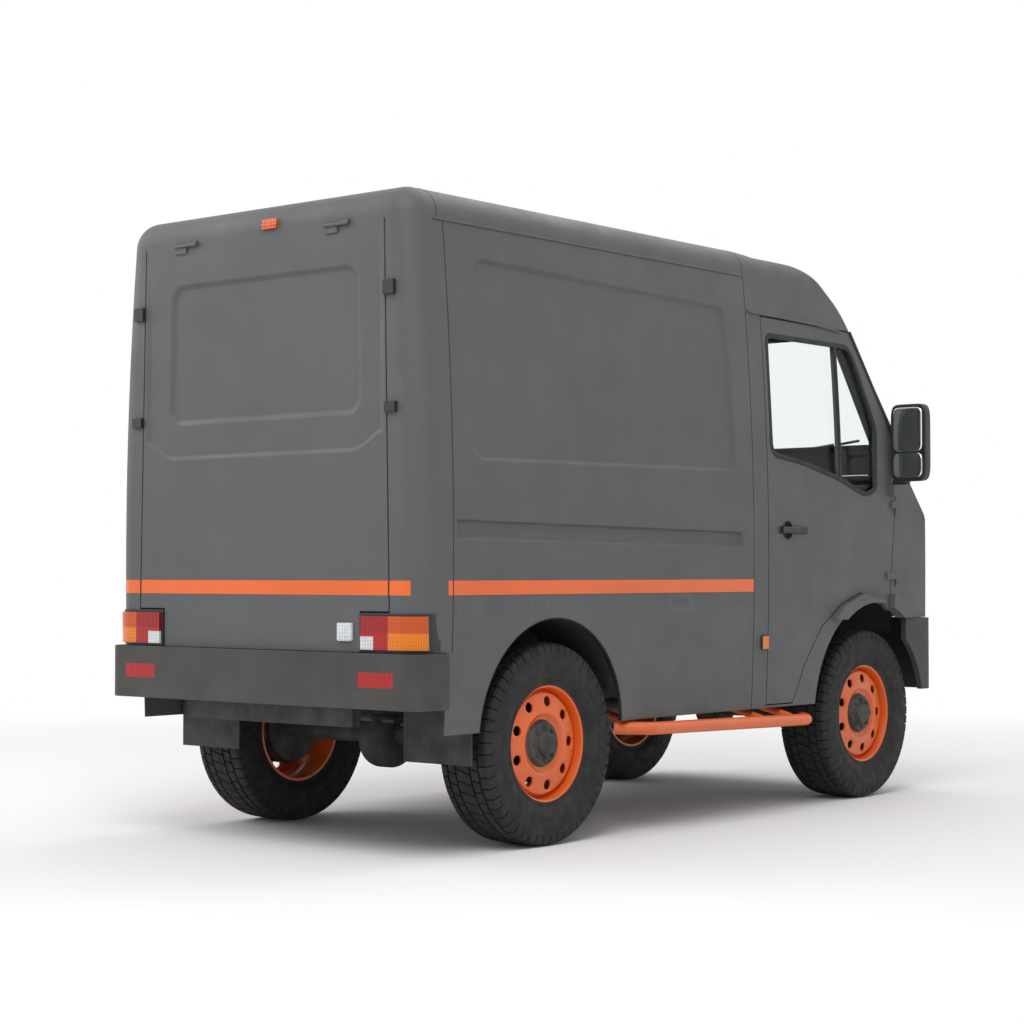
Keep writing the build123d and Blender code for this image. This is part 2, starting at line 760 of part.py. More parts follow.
# Front wings with their arch flares
bumper_top = 765
lamp_box = (-body_half_width + 60, -470, -far, cab - 1500, 862, 1092)
with BuildPart() as front_wing:
    add(body_wall)
    block(-far, -wing_half, -far, wing_rear, bumper_top + panel_gap, scuttle_height, mode=Mode.INTERSECT)
    cut_door_openings()
    cut_front_arch()
    block(*lamp_box, mode=Mode.SUBTRACT)
flare_stand_off = 26
with BuildPart() as flare:
    add(layer(-flare_stand_off, 0))
    rod((-far, *front_arch), (0, *front_arch), front_arch_radius + 58, mode=Mode.INTERSECT)
    block(-far, -700, -far, far, bumper_top + panel_gap, far, mode=Mode.INTERSECT)
    cut_door_openings()
    cut_front_arch()
with BuildPart() as wing_and_flare:
    add(front_wing.part)
    add(flare.part)
    door_knuckles(fixed=True)
write(both_sides(wing_and_flare), "front_wings")

# Front panel with its grille bars, headlamps and bumper
grille_half = 430
with BuildPart() as front_panel:
    add(body_wall)
    nose_half = wing_half - panel_gap
    block(-nose_half, nose_half, -far, cab - 1500, 700, 1128, mode=Mode.INTERSECT)
    block(*lamp_box, mode=Mode.SUBTRACT)
    block(-lamp_box[1], -lamp_box[0], *lamp_box[2:], mode=Mode.SUBTRACT)
    block(-grille_half, grille_half, -far, cab - 1500, 880, 1080, mode=Mode.SUBTRACT)
    for z in range(900, 1080, 40):
        block(-grille_half, grille_half, front_face + 4, front_face + 18, z - 8, z + 8)
write(front_panel, "front_panel")

with BuildPart() as headlamp:
    add(layer(0, 60))
    block(lamp_box[0] + 0.5, lamp_box[1] - 0.5, *lamp_box[2:4], 862.5, 1091.5, mode=Mode.INTERSECT)
write(both_sides(headlamp), "headlamps")

front_bumper_low = 450
with BuildPart() as front_bumper:
    block(-bumper_half, bumper_half, -overall_length / 2, cab - 1459, front_bumper_low, bumper_top)
    fillet(front_bumper.edges().filter_by(Axis.Z).group_by(Axis.Y)[0], 80)
    reach = bumper_half - bumper_wall
    block(-reach, reach, front_face, far, 0, far, mode=Mode.SUBTRACT)
    wheel_centre = (front_axle_y, tyre_radius)
    rod((-far, *wheel_centre), (far, *wheel_centre), tyre_radius + 45, mode=Mode.SUBTRACT)
    block(-grille_half, grille_half, -far, far, 560, 640, mode=Mode.SUBTRACT)
write(front_bumper, "front_bumper")

# Bonnet, hinged along its rear edge
with BuildPart() as bonnet:
    add(body_wall)
    bonnet_half = wing_half - panel_gap
    block(-bonnet_half, bonnet_half, -far, cab - 1400, 1131, scuttle_height - panel_gap, mode=Mode.INTERSECT)
    for centre in bonnet_hinge_centres:
        rod((centre - 30, *bonnet_hinge), (centre - joint_clearance, *bonnet_hinge), 5)
        rod((centre - 31, *bonnet_hinge), (centre + 2, *bonnet_hinge), 2.5 + running_fit, mode=Mode.SUBTRACT)
        block(centre + 1, centre + 34, cab - 1500, cab - 1475, 1385, 1406, mode=Mode.SUBTRACT)
write(bonnet, "bonnet")

# Doors: a skin with a deep rim, an inside panel and the window opening
mirror_foot = (-body_half_width - 24, -body_half_width + 28, cab - 1386, cab - 1336, 1296, 1346)
with BuildPart() as door_pocket:
    extrude(moved_outline(door_outline, -door_rim), amount=far, both=True)
    add(body_inside, mode=Mode.INTERSECT)
with BuildPart() as door_lining:
    add(layer(door_depth - 12, door_depth))
    prism(Plane.YZ, door_outline, -far, -door_inner, mode=Mode.INTERSECT)
    block(-far, 0, -far, far, 0, 1270, mode=Mode.INTERSECT)
with BuildPart() as divider:
    add(body_wall)
    block(-far, 0, divider_y - divider_half, divider_y + divider_half, 1290, 1990, mode=Mode.INTERSECT)
with BuildPart() as door:
    add(door_wall)
    prism(Plane.YZ, door_outline, -far, -door_inner, mode=Mode.INTERSECT)
    add(door_pocket.part, mode=Mode.SUBTRACT)
    prism(Plane.YZ, window_outline, -far, -door_inner, mode=Mode.SUBTRACT)
    add(divider.part)
    add(door_lining.part)
    recess_y = handle_y + 40
    recess_x = -body_half_width + 13
    rod((-far, recess_y, handle_z), (recess_x, recess_y, handle_z), 38, mode=Mode.SUBTRACT)
    block(*mirror_foot)
    block(-body_half_width + skin + 2, 0, cab - 1360, cab - 1230, 780, 880, mode=Mode.SUBTRACT)
    with Locations((*door_hinge, 1200)):
        Cylinder(door_rear - door_hinge[1] + door_gap - 1.5, far, mode=Mode.INTERSECT)
    door_knuckles(fixed=False)
write_pair(door, "door")

# Sliding windows: flat panes that drop straight into the doors
pane_middle = 1680
pane_x = side_x(pane_middle) - skin - 5.6
pane_lean = (pane_middle - widest_height) / side_radius
with BuildPart() as pane:
    plane = Plane(origin=(-pane_x, 0, pane_middle), x_dir=(0, 1, 0), z_dir=(1, 0, -pane_lean))
    with BuildSketch(plane) as sheet:
        with BuildLine():
            low = 1340 - pane_middle
            high = 1940 - pane_middle
            rear = door_rear - door_rim - 4
            Polyline((divider_y, low), (rear, low), (rear, high), (divider_y, high), close=True)
        make_face()
    extrude(amount=glass_thickness)
write_pair(pane, "window_pane")

# Door handles, hinged at their front end
with BuildPart() as handle:
    handle_inner = -body_half_width - joint_clearance
    pivot = (handle_inner - handle_depth / 2, handle_y - 85)
    block(handle_inner - handle_depth, handle_inner, pivot[1], handle_y + 95, handle_z - 14, handle_z + 14)
    fillet(handle.edges().filter_by(Axis.Y).group_by(Axis.X)[0], 6)
    rod((*pivot, handle_z - 14), (*pivot, handle_z + 14), handle_depth / 2)
write_pair(handle, "door_handle")

# Door mirrors on short arms that fold towards the rear
mirror_width = 168
mirror_inner = body_half_width + 7
with BuildPart() as mirror_head:
    block(-mirror_inner - mirror_width, -mirror_inner, cab - 1395, cab - 1335, 1360, 1695)
    fillet(mirror_head.edges(), 18)
    arm_low = mirror_foot[5] + joint_clearance
    block(-mirror_inner - 75, -mirror_inner - 10, cab - 1375, cab - 1347, arm_low, 1368)
    pivot = (-mirror_inner - 10, cab - 1361)
    rod((*pivot, arm_low), (*pivot, 1368), 14)
write_pair(mirror_head, "door_mirror")

# Cab floor with seat boxes and step wells
floor_half = body_half_width - 93
with BuildPart() as toe_board:
    block(-far, far, cab - 1640, cab - 1400, cab_floor_height, cab_floor_height + 12)
    add(body_inside, mode=Mode.INTERSECT)
with BuildPart() as cab_floor:
    floor_top = cab_floor_height + 12
    block(-floor_half, floor_half, cab - 1400, seam - bulkhead_thickness, cab_floor_height, floor_top)
    add(toe_board.part)
    for side in (-1, 1):
        seat = sorted((side * 140, side * 550))
        block(*seat, cab - 860, cab - 460, cab_floor_height + 12, 1110)
        well = sorted((side * (floor_half - 6), side * floor_half))
        block(*well, cab - 560, seam - bulkhead_thickness, 460, cab_floor_height)
write(cab_floor, "cab_floor")

# Seats: a cushion, a back and a head restraint each
with BuildPart() as seats:
    for side in (-1, 1):
        middle = side * 345
        block(middle - 215, middle + 215, cab - 930, cab - 450, 1110, 1225)
        block(middle - 212, middle + 212, cab - 450, cab - 350, 1160, 1780)
        block(middle - 120, middle + 120, cab - 440, cab - 360, 1800, 1940)
        for post in (-50, 50):
            rod((middle + post, cab - 400, 1780), (middle + post, cab - 400, 1800), 6)
write(seats, "seats")

# Dashboard with its console, steering column and pedal bracket
dash_profile = [
    (cab - 1440, 1010),
    (cab - 1210, 1060),
    (cab - 1180, 1240),
    (cab - 1240, 1330),
    (cab - 1430, 1350),
]
steering_centre = Vector(340, cab - 1130, 1330)
column_axis = Vector(0, 0.5, 0.866)
pedal_pivot = (cab - 1324, 1000)
with BuildPart() as dashboard:
    prism(Plane.YZ, dash_profile, -screen_half, screen_half)
    block(-120, 120, cab - 1420, cab - 1250, cab_floor_height + 12, 1060)
    rod(steering_centre - column_axis * 230, steering_centre - column_axis * 29.5, 22)
    block(372, 398, cab - 1342, cab - 1306, 982, 1060)
    rod((310, *pedal_pivot), (460, *pedal_pivot), 6)
write(dashboard, "dashboard")

with BuildPart() as steering_wheel:
    plane = Plane(origin=steering_centre, x_dir=(1, 0, 0), z_dir=column_axis)
    with Locations(plane):
        Torus(200, 14)
        with Locations((0, 0, -14)):
            Cylinder(45, 30)
        for turn in (90, 210, 330):
            with Locations(Location((0, 0, 0), (0, 0, turn))):
                with Locations((120, 0, -6)):
                    Box(170, 26, 10)
write(steering_wheel, "steering_wheel")

for label, x, pad in (("brake_pedal", 340, 34), ("accelerator_pedal", 430, 24)):
    with BuildPart() as pedal:
        block(x - 8, x + 8, cab - 1336, cab - 1312, 890, 1014)
        block(x - pad, x + pad, cab - 1314, cab - 1302, 884, 936)
        rod((x - 9, *pedal_pivot), (x + 9, *pedal_pivot), 6 + running_fit, mode=Mode.SUBTRACT)
    write(pedal, label)

lever_foot = (20, cab - 1060, cab_floor_height + 12 + 12.5)
lever_head = (20, cab - 1010, 1130)
with BuildPart() as gear_lever:
    with Locations(lever_foot):
        Sphere(12)
    rod(lever_foot, lever_head, 8)
    rod((8, *lever_foot[1:]), (32, *lever_foot[1:]), 10)
    with Locations(lever_head):
        Sphere(26)
write(gear_lever, "gear_lever")

# Windscreen wiper on a spindle through the scuttle, parked along the foot of the glass
glass_up = Vector(0, 0.6264, 0.7798)
with BuildPart() as wiper:
    rod(wiper_foot - glass_out * 35, wiper_foot + glass_out * 30, 12)
    tip = Vector(-430, 0, 0) + glass_up * 60
    rod(wiper_foot + glass_out * 25, wiper_foot + glass_out * 25 + tip, 6)
    rod(wiper_foot + glass_out * 19 + tip * 0.35, wiper_foot + glass_out * 19 + tip * 1.3, 6)
write(wiper, "wiper")

# Side steps: a tube along each sill with arms to the frame
step_out = -body_half_width - 32
step_in = -body_half_width + 68
step_path = [
    (step_in, rear_axle_y - 406, 392),
    (step_out, rear_axle_y - 496, 390),
    (step_out, cab - 610, 368),
    (step_in - 20, cab - 690, 368),
]
with BuildPart() as side_step:
    with BuildLine() as step_line:
        FilletPolyline(*step_path, radius=60)
    with BuildSketch(Plane(origin=step_path[0], z_dir=step_line.line % 0)):
        Circle(24)
    sweep()
    for y in (cab - 500, seam - 26, rear_axle_y - 516):
        rod((step_out + 10, y, 385), (-rail_offset - rail_width / 2 + 4, y, 500), 14)
    block(-rail_offset, far, -far, far, 0, far, mode=Mode.SUBTRACT)
    block(-rail_offset - rail_width / 2, far, -far, far, rail_bottom, far, mode=Mode.SUBTRACT)
write(both_sides(side_step), "side_steps")
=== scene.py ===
import json
import math

import bmesh
import bpy
import numpy as np
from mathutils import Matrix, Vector


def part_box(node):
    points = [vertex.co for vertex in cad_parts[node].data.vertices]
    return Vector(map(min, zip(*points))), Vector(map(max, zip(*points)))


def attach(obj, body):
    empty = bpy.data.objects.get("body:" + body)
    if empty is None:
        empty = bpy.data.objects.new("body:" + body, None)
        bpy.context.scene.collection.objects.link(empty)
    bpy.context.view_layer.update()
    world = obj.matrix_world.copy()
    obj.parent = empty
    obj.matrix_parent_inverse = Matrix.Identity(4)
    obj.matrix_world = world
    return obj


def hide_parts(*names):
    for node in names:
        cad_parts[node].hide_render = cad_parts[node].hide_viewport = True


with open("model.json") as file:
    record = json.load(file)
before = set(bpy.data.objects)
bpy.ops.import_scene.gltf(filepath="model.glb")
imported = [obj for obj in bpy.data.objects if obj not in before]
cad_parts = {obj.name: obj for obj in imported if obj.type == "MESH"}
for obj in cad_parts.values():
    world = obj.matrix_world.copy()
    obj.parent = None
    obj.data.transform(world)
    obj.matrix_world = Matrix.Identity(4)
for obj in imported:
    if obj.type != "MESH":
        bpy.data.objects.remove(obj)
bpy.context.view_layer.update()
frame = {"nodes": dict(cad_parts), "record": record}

nodes = frame["nodes"]
rightAndLeft = (("right", -1), ("left", 1))
wheelEnds = ("front", "rear")


def gridFaces(rows, columns, closeRows=False, closeColumns=False):
    # corner numbers of a rows x columns grid, joined round where it is closed
    i = np.arange(rows if closeRows else rows - 1)[:, None]
    j = np.arange(columns if closeColumns else columns - 1)[None, :]
    down = (i + 1) % rows
    across = (j + 1) % columns
    corners = (i * columns + j, i * columns + across, down * columns + across, down * columns + j)
    return np.stack(np.broadcast_arrays(*corners), -1).reshape(-1, 4)


def sheetOf(grid, closeRows=False, closeColumns=False):
    # a (rows, columns, 3) grid of places as points and faces
    rows, columns = grid.shape[:2]
    return grid.reshape(-1, 3), gridFaces(rows, columns, closeRows, closeColumns)


def shellOf(outer, inner):
    # the outer grid, the inner grid and the rim that joins their borders, as one closed wall
    rows, columns = outer.shape[:2]
    around = np.concatenate([
        np.arange(columns), columns - 1 + columns * np.arange(1, rows),
        (rows - 1) * columns + np.arange(columns - 2, -1, -1), columns * np.arange(rows - 2, 0, -1)])
    after = np.roll(around, -1)
    count = rows * columns
    rim = np.stack([around, after, after + count, around + count], -1)
    faces = np.concatenate([gridFaces(rows, columns), gridFaces(rows, columns) + count, rim])
    return np.concatenate([outer.reshape(-1, 3), inner.reshape(-1, 3)]), faces


def joined(*parts):
    # several (points, faces) pairs as one pair
    starts = np.cumsum([0] + [len(points) for points, faces in parts[:-1]])
    return (np.concatenate([points for points, faces in parts]),
            np.concatenate([faces + start for (points, faces), start in zip(parts, starts)]))


def mirrored(part):
    # the same part on the other side of the truck
    return part[0] * (-1, 1, 1), part[1][:, ::-1]


def bothSides(part):
    return joined(part, mirrored(part))


def addPiece(name, part, body, slotName, replaced=(), sharp=35, material=None):
    # a mesh object from points and faces, merged, turned outwards and hung on its body, in its slot's
    # finish unless another material is given
    points, faces = part
    mesh = bpy.data.meshes.new(name)
    mesh.from_pydata(points.tolist(), [], faces.tolist())
    work = bmesh.new()
    work.from_mesh(mesh)
    bmesh.ops.remove_doubles(work, verts=work.verts[:], dist=0.00002)
    bmesh.ops.dissolve_degenerate(work, edges=work.edges[:], dist=0.00001)
    bmesh.ops.recalc_face_normals(work, faces=work.faces[:])
    work.to_mesh(mesh)
    work.free()
    mesh.polygons.foreach_set("use_smooth", np.ones(len(mesh.polygons), dtype=bool))
    mesh.set_sharp_from_angle(angle=math.radians(sharp))
    mesh.materials.append(material or finishes[slotName])
    piece = bpy.data.objects.new(name, mesh)
    bpy.context.scene.collection.objects.link(piece)
    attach(piece, body)
    if replaced:
        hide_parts(*replaced)
    return piece


def turned(profile, columns, centre, close=True):
    # a profile of (distance out, radius) turned about the X axis through a centre
    angle = np.linspace(0, 2 * math.pi, columns, endpoint=False)[None, :]
    out, radius = np.asarray(profile, float).T[:, :, None]
    grid = np.stack(np.broadcast_arrays(centre[0] + out + 0 * angle, centre[1] + radius * np.cos(angle),
                                        centre[2] + radius * np.sin(angle)), -1)
    return sheetOf(grid, closeRows=close, closeColumns=True)


def roundedPath(corners, radius, closed=True, steps=6):
    # straight runs with each corner replaced by a curve that leaves it a radius away
    corners = np.asarray(corners, float)
    if np.ndim(radius) == 0:
        radius = [radius] * len(corners)
    path = []
    for number, corner in enumerate(corners):
        if not closed and number in (0, len(corners) - 1):
            path.append(corner[None])
            continue
        before = corners[number - 1] - corner
        after = corners[(number + 1) % len(corners)] - corner
        reach = min(radius[number], 0.45 * np.linalg.norm(before), 0.45 * np.linalg.norm(after))
        first = corner + before / np.linalg.norm(before) * reach
        last = corner + after / np.linalg.norm(after) * reach
        t = np.linspace(0, 1, steps)[:, None]
        path.append((1 - t) ** 2 * first + 2 * t * (1 - t) * corner + t**2 * last)
    return np.concatenate(path)


def swept(path, outward, profile, closed=True):
    # a profile of (across, out) carried along a path, its second number along the outward direction
    path = np.asarray(path, float)
    ahead = np.roll(path, -1, 0) - np.roll(path, 1, 0)
    if not closed:
        ahead[0] = path[1] - path[0]
        ahead[-1] = path[-1] - path[-2]
    ahead /= np.linalg.norm(ahead, axis=1)[:, None]
    outward = np.broadcast_to(np.asarray(outward, float), path.shape)
    across = np.cross(ahead, outward)
    across /= np.linalg.norm(across, axis=1)[:, None]
    profile = np.asarray(profile, float)
    grid = (path[:, None] + profile[None, :, :1] * across[:, None] + profile[None, :, 1:] * outward[:, None])
    part = sheetOf(grid, closeRows=closed, closeColumns=True)
    if closed:
        return part
    ends = np.stack([part[0][:len(profile)].mean(0), part[0][-len(profile):].mean(0)])
    count = len(part[0])
    ring = np.arange(len(profile))
    after = np.roll(ring, -1)
    last = count - len(profile)
    caps = np.concatenate([np.stack([ring, after, np.full_like(ring, count), np.full_like(ring, count)], -1),
                           np.stack([ring + last, after + last, np.full_like(ring, count + 1),
                                     np.full_like(ring, count + 1)], -1)])
    return np.concatenate([part[0], ends]), np.concatenate([part[1], caps])


def ovalProfile(halfAcross, halfOut, count=12, squareness=1.0):
    # an oval, flatter sided as squareness falls
    angle = np.linspace(0, 2 * math.pi, count, endpoint=False)
    c, s = np.cos(angle), np.sin(angle)
    return np.stack([halfAcross * np.sign(c) * np.abs(c) ** squareness,
                     halfOut * np.sign(s) * np.abs(s) ** squareness], -1)


def easeStep(value):
    # 0 below 0, 1 above 1, and a smooth S between
    value = np.clip(value, 0, 1)
    return value * value * (3 - 2 * value)


def samples(start, end, coarse, *bands):
    # places from start to end, coarse steps apart, with finer steps inside each (low, high, step) band
    found = [np.linspace(start, end, max(2, int(round((end - start) / coarse)) + 1))]
    for low, high, step in bands:
        low, high = max(low, start), min(high, end)
        found[0] = found[0][(found[0] <= low) | (found[0] >= high)]
        found.append(np.linspace(low, high, int(round((high - low) / step)) + 1))
    places = np.sort(np.concatenate(found))
    return places[np.concatenate([[True], np.diff(places) > 0.0006])]


def roundedQuad(u, v, corners, radius):
    # distance outside a four-sided outline with rounded corners, negative inside; corners run
    # low start, low end, high end, high start
    def beyond(first, second):
        edge = np.subtract(second, first)
        edge = edge / np.linalg.norm(edge)
        return (u - first[0]) * edge[1] - (v - first[1]) * edge[0]
    lowStart, lowEnd, highEnd, highStart = corners
    sideways = np.maximum(beyond(lowEnd, highEnd), beyond(highStart, lowStart)) + radius
    upDown = np.maximum(beyond(lowStart, lowEnd), beyond(highEnd, highStart)) + radius
    outside = np.hypot(np.maximum(sideways, 0), np.maximum(upDown, 0))
    return outside + np.minimum(np.maximum(sideways, upDown), 0) - radius


body = {
    "halfWidth": 0.768, "widestHeight": 1.045, "sideRadius": 11.741, "roof": 2.262, "roofEdge": 0.100,
    "rearCorner": 0.095, "rearFace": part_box("tailgate_frame")[1].y + 0.020,
    "seam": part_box("side_panels")[0].y,
    "postSeam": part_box("rear_corner_posts")[0].y, "gutter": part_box("side_panels")[1].z,
    "sill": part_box("side_panels")[0].z, "skin": 0.0025,
}


def sideX(z):
    # half width of the body: a large circle whose widest point is at widestHeight
    radius = body["sideRadius"]
    return body["halfWidth"] - (radius - np.sqrt(radius ** 2 - (z - body["widestHeight"]) ** 2))


def sectionPath(y, lowest, proud=0.0):
    # round the body at one place: up the right flank, over the roof and down the left flank
    tilt = (body["roof"] - body["roofEdge"] - body["widestHeight"]) / body["sideRadius"]
    edgeZ = body["roof"] - body["roofEdge"]
    topZ = edgeZ + body["roofEdge"] * math.sin(tilt)
    centreX = sideX(topZ) - body["roofEdge"] * math.cos(tilt)
    z = np.linspace(lowest, topZ, 24)
    angle = np.linspace(tilt, math.pi / 2, 14)[1:]
    radius = body["roofEdge"] + proud
    x = np.concatenate([sideX(z) + proud, centreX + radius * np.cos(angle)])
    z = np.concatenate([z, edgeZ + radius * np.sin(angle)])
    right = np.stack([-x, np.full_like(x, y), z], -1)
    left = right[::-1] * (-1, 1, 1)
    normal = np.stack([np.concatenate([-np.ones(24), -np.cos(angle)]), np.zeros(37),
                       np.concatenate([np.zeros(24), np.sin(angle)])], -1)
    return np.concatenate([right, left]), np.concatenate([normal, normal[::-1] * (-1, 1, 1)])


def onSide(part, side):
    # a part made for the right side, as it is there or mirrored for the left
    return mirrored(part) if side > 0 else part


def nodeMaterial(name, base, roughness, metallic=0.0, **sockets):
    material = bpy.data.materials.new(name)
    material.use_nodes = True
    shader = material.node_tree.nodes["Principled BSDF"]
    shader.inputs["Base Color"].default_value = (*base, 1)
    shader.inputs["Roughness"].default_value = roughness
    shader.inputs["Metallic"].default_value = metallic
    for socket, value in sockets.items():
        shader.inputs[socket].default_value = value
    return material, material.node_tree, shader


def linked(tree, kind, settings=None, **inputs):
    # a node with some properties set and some sockets linked or given a value
    node = tree.nodes.new(kind)
    for name, value in (settings or {}).items():
        setattr(node, name, value)
    for name, value in inputs.items():
        socket = node.inputs[int(name[1:])] if name[0] == "_" else node.inputs[name]
        if isinstance(value, bpy.types.NodeSocket):
            tree.links.new(value, socket)
        else:
            socket.default_value = value
    return node


def objectPlace(tree):
    return linked(tree, "ShaderNodeTexCoord").outputs["Object"]


def remapped(tree, value, fromLow, fromHigh, toLow=0.0, toHigh=1.0, kind="LINEAR"):
    # a value stretched so that fromLow becomes toLow and fromHigh becomes toHigh, held beyond them
    spread = linked(tree, "ShaderNodeMapRange", {"interpolation_type": kind}, Value=value)
    limits = (fromLow, fromHigh, toLow, toHigh)
    for socket, limit in zip(("From Min", "From Max", "To Min", "To Max"), limits):
        spread.inputs[socket].default_value = limit
    return spread.outputs["Result"]


def heightOf(tree, place):
    return linked(tree, "ShaderNodeSeparateXYZ", Vector=place).outputs["Z"]


def noiseOf(tree, place, scale, detail=3.0, low=0.35, high=0.65, first=0.0, last=1.0):
    # cloudy noise stretched so that low becomes first and high becomes last
    noise = linked(tree, "ShaderNodeTexNoise", Vector=place, Scale=scale, Detail=detail).outputs["Fac"]
    return remapped(tree, noise, low, high, first, last)


def mixColour(tree, factor, first, second):
    node = linked(tree, "ShaderNodeMix", {"data_type": "RGBA"})
    for number, value in ((0, factor), (6, first), (7, second)):
        if isinstance(value, bpy.types.NodeSocket):
            tree.links.new(value, node.inputs[number])
        else:
            node.inputs[number].default_value = value if number == 0 else (*value, 1)
    return node.outputs[2]


def maths(tree, operation, *values):
    node = tree.nodes.new("ShaderNodeMath")
    node.operation = operation
    for number, value in enumerate(values):
        if isinstance(value, bpy.types.NodeSocket):
            tree.links.new(value, node.inputs[number])
        else:
            node.inputs[number].default_value = value
    return node.outputs[0]


def bumped(tree, shader, height, strength, distance):
    bump = linked(tree, "ShaderNodeBump", Height=height, Strength=strength, Distance=distance)
    tree.links.new(bump.outputs["Normal"], shader.inputs["Normal"])


def variedFinish(name, base, roughness, spread=0.12, grain=260, grainDepth=0.0003, strength=0.25,
                 cloud=2.5, dust=0.0, metallic=0.0, **sockets):
    # slow colour clouds, uneven gloss, fine grain in the bump, and road dust low down
    material, tree, shader = nodeMaterial(name, base, roughness, metallic, **sockets)
    place = objectPlace(tree)
    clouds = noiseOf(tree, place, cloud)
    dark = tuple(value * (1 - spread) for value in base)
    light = tuple(min(1, value * (1 + spread)) for value in base)
    colour = mixColour(tree, clouds, dark, light)
    if dust:
        low = remapped(tree, heightOf(tree, place), 0.05, 0.75, dust, 0.0)
        amount = maths(tree, "MULTIPLY", low, noiseOf(tree, place, 14, 5))
        colour = mixColour(tree, amount, colour, (0.19, 0.17, 0.145))
    tree.links.new(colour, shader.inputs["Base Color"])
    gloss = noiseOf(tree, place, 9, 4, first=roughness - 0.05, last=min(1, roughness + 0.07))
    tree.links.new(gloss, shader.inputs["Roughness"])
    bumped(tree, shader, noiseOf(tree, place, grain, 2), strength, grainDepth)
    return material


paintSettings = {
    "colour": (0.086, 0.090, 0.095), "roughness": 0.52, "weaveSpacing": 0.0045, "mottle": 0.10,
}


def bodyPaintMaterial():
    # textured dark grey coat: crossed fine waves like orange peel, with faint cloudy gloss
    s = paintSettings
    material, tree, shader = nodeMaterial("bodyPaint", s["colour"], s["roughness"])
    place = objectPlace(tree)
    clouds = noiseOf(tree, place, 1.6, 4)
    fine = noiseOf(tree, place, 420, 2)
    dark = tuple(value * (1 - s["mottle"]) for value in s["colour"])
    light = tuple(value * (1 + s["mottle"]) for value in s["colour"])
    even = maths(tree, "MULTIPLY_ADD", fine, 0.5, maths(tree, "MULTIPLY", clouds, 0.5))
    colour = mixColour(tree, even, dark, light)
    low = remapped(tree, heightOf(tree, place), 0.40, 1.00, 0.22, 0.0)
    dusty = maths(tree, "MULTIPLY", low, noiseOf(tree, place, 11, 5))
    tree.links.new(mixColour(tree, dusty, colour, (0.16, 0.15, 0.13)), shader.inputs["Base Color"])
    tree.links.new(noiseOf(tree, place, 7, 4, first=s["roughness"] - 0.05, last=s["roughness"] + 0.06),
                   shader.inputs["Roughness"])
    cell = linked(tree, "ShaderNodeTexVoronoi", Vector=place, Scale=1 / s["weaveSpacing"]).outputs["Distance"]
    swell = noiseOf(tree, place, 38, 2, first=0.0, last=1.5)
    bumped(tree, shader, maths(tree, "ADD", cell, swell), 0.10, 0.0006)
    return material


# the third setting: how far the painted shade along the rib lines darkens the lens colour
lensSettings = {"split": 0.764, "ribs": 520.0, "paintedRibShade": 0.30}


def lensMaterial(name, colour, lowColour=None):
    # moulded lens: close vertical ribs in the bump, painted shade darkening the colour along the rib lines,
    # and a second tint below a line
    material, tree, shader = nodeMaterial(name, colour, 0.22)
    shader.inputs["Coat Weight"].default_value = 0.2
    shader.inputs["Coat Roughness"].default_value = 0.12
    shader.inputs["Specular IOR Level"].default_value = 0.35
    place = objectPlace(tree)
    ribs = lensSettings["ribs"]
    parts = linked(tree, "ShaderNodeSeparateXYZ", Vector=place).outputs
    wave = maths(tree, "SINE", maths(tree, "MULTIPLY", maths(tree, "ADD", parts["X"], parts["Y"]), ribs))
    flutes = maths(tree, "SINE", maths(tree, "MULTIPLY", parts["Z"], ribs))
    shade = noiseOf(tree, place, 40, 2)
    if lowColour:
        below = maths(tree, "LESS_THAN", parts["Z"], lensSettings["split"])
        colourOut = mixColour(tree, below, colour, lowColour)
    else:
        cloudy = maths(tree, "MULTIPLY", shade, 0.35)
        colourOut = mixColour(tree, cloudy, colour, tuple(value * 0.55 for value in colour))
    # painted shade: the colour darkens along the rib wave, as shade in the rib grooves would
    lines = maths(tree, "MULTIPLY_ADD", wave, 0.5, 0.5)
    ribShadedColour = mixColour(tree, maths(tree, "MULTIPLY", lines, lensSettings["paintedRibShade"]), colourOut,
                     tuple(value * 0.4 for value in colour))
    tree.links.new(ribShadedColour, shader.inputs["Base Color"])
    bumped(tree, shader, maths(tree, "ADD", wave, flutes), 0.5, 0.0008)
    return material


def tyreMaterial():
    # rubber with dust in the sides and a darker tread
    material, tree, shader = nodeMaterial("tyreRubber", (0.022, 0.022, 0.023), 0.78)
    shader.inputs["Specular IOR Level"].default_value = 0.35
    place = objectPlace(tree)
    dust = noiseOf(tree, place, 16, 6, low=0.45, high=0.75, last=0.35)
    colour = mixColour(tree, dust, (0.020, 0.020, 0.021), (0.065, 0.060, 0.053))
    tree.links.new(colour, shader.inputs["Base Color"])
    tree.links.new(noiseOf(tree, place, 30, 3, first=0.68, last=0.88), shader.inputs["Roughness"])
    bumped(tree, shader, noiseOf(tree, place, 340, 3), 0.3, 0.0004)
    return material


clothThreads = 2600.0  # radians of weave per metre


def fabricMaterial():
    # woven seat cloth: crossed threads on Object coordinates, soft sheen and faint fading
    material, tree, shader = nodeMaterial("seatCloth", (0.050, 0.052, 0.060), 0.88)
    shader.inputs["Sheen Weight"].default_value = 0.4
    place = objectPlace(tree)
    parts = linked(tree, "ShaderNodeSeparateXYZ", Vector=place).outputs
    warp = maths(tree, "SINE", maths(tree, "MULTIPLY", parts["X"], clothThreads))
    across = maths(tree, "ADD", parts["Y"], parts["Z"])
    weft = maths(tree, "SINE", maths(tree, "MULTIPLY", across, clothThreads))
    thread = maths(tree, "MULTIPLY_ADD", maths(tree, "MULTIPLY", warp, weft), 0.5, 0.5)
    colour = mixColour(tree, thread, (0.036, 0.038, 0.045), (0.070, 0.072, 0.082))
    tree.links.new(colour, shader.inputs["Base Color"])
    bumped(tree, shader, thread, 0.6, 0.0006)
    return material


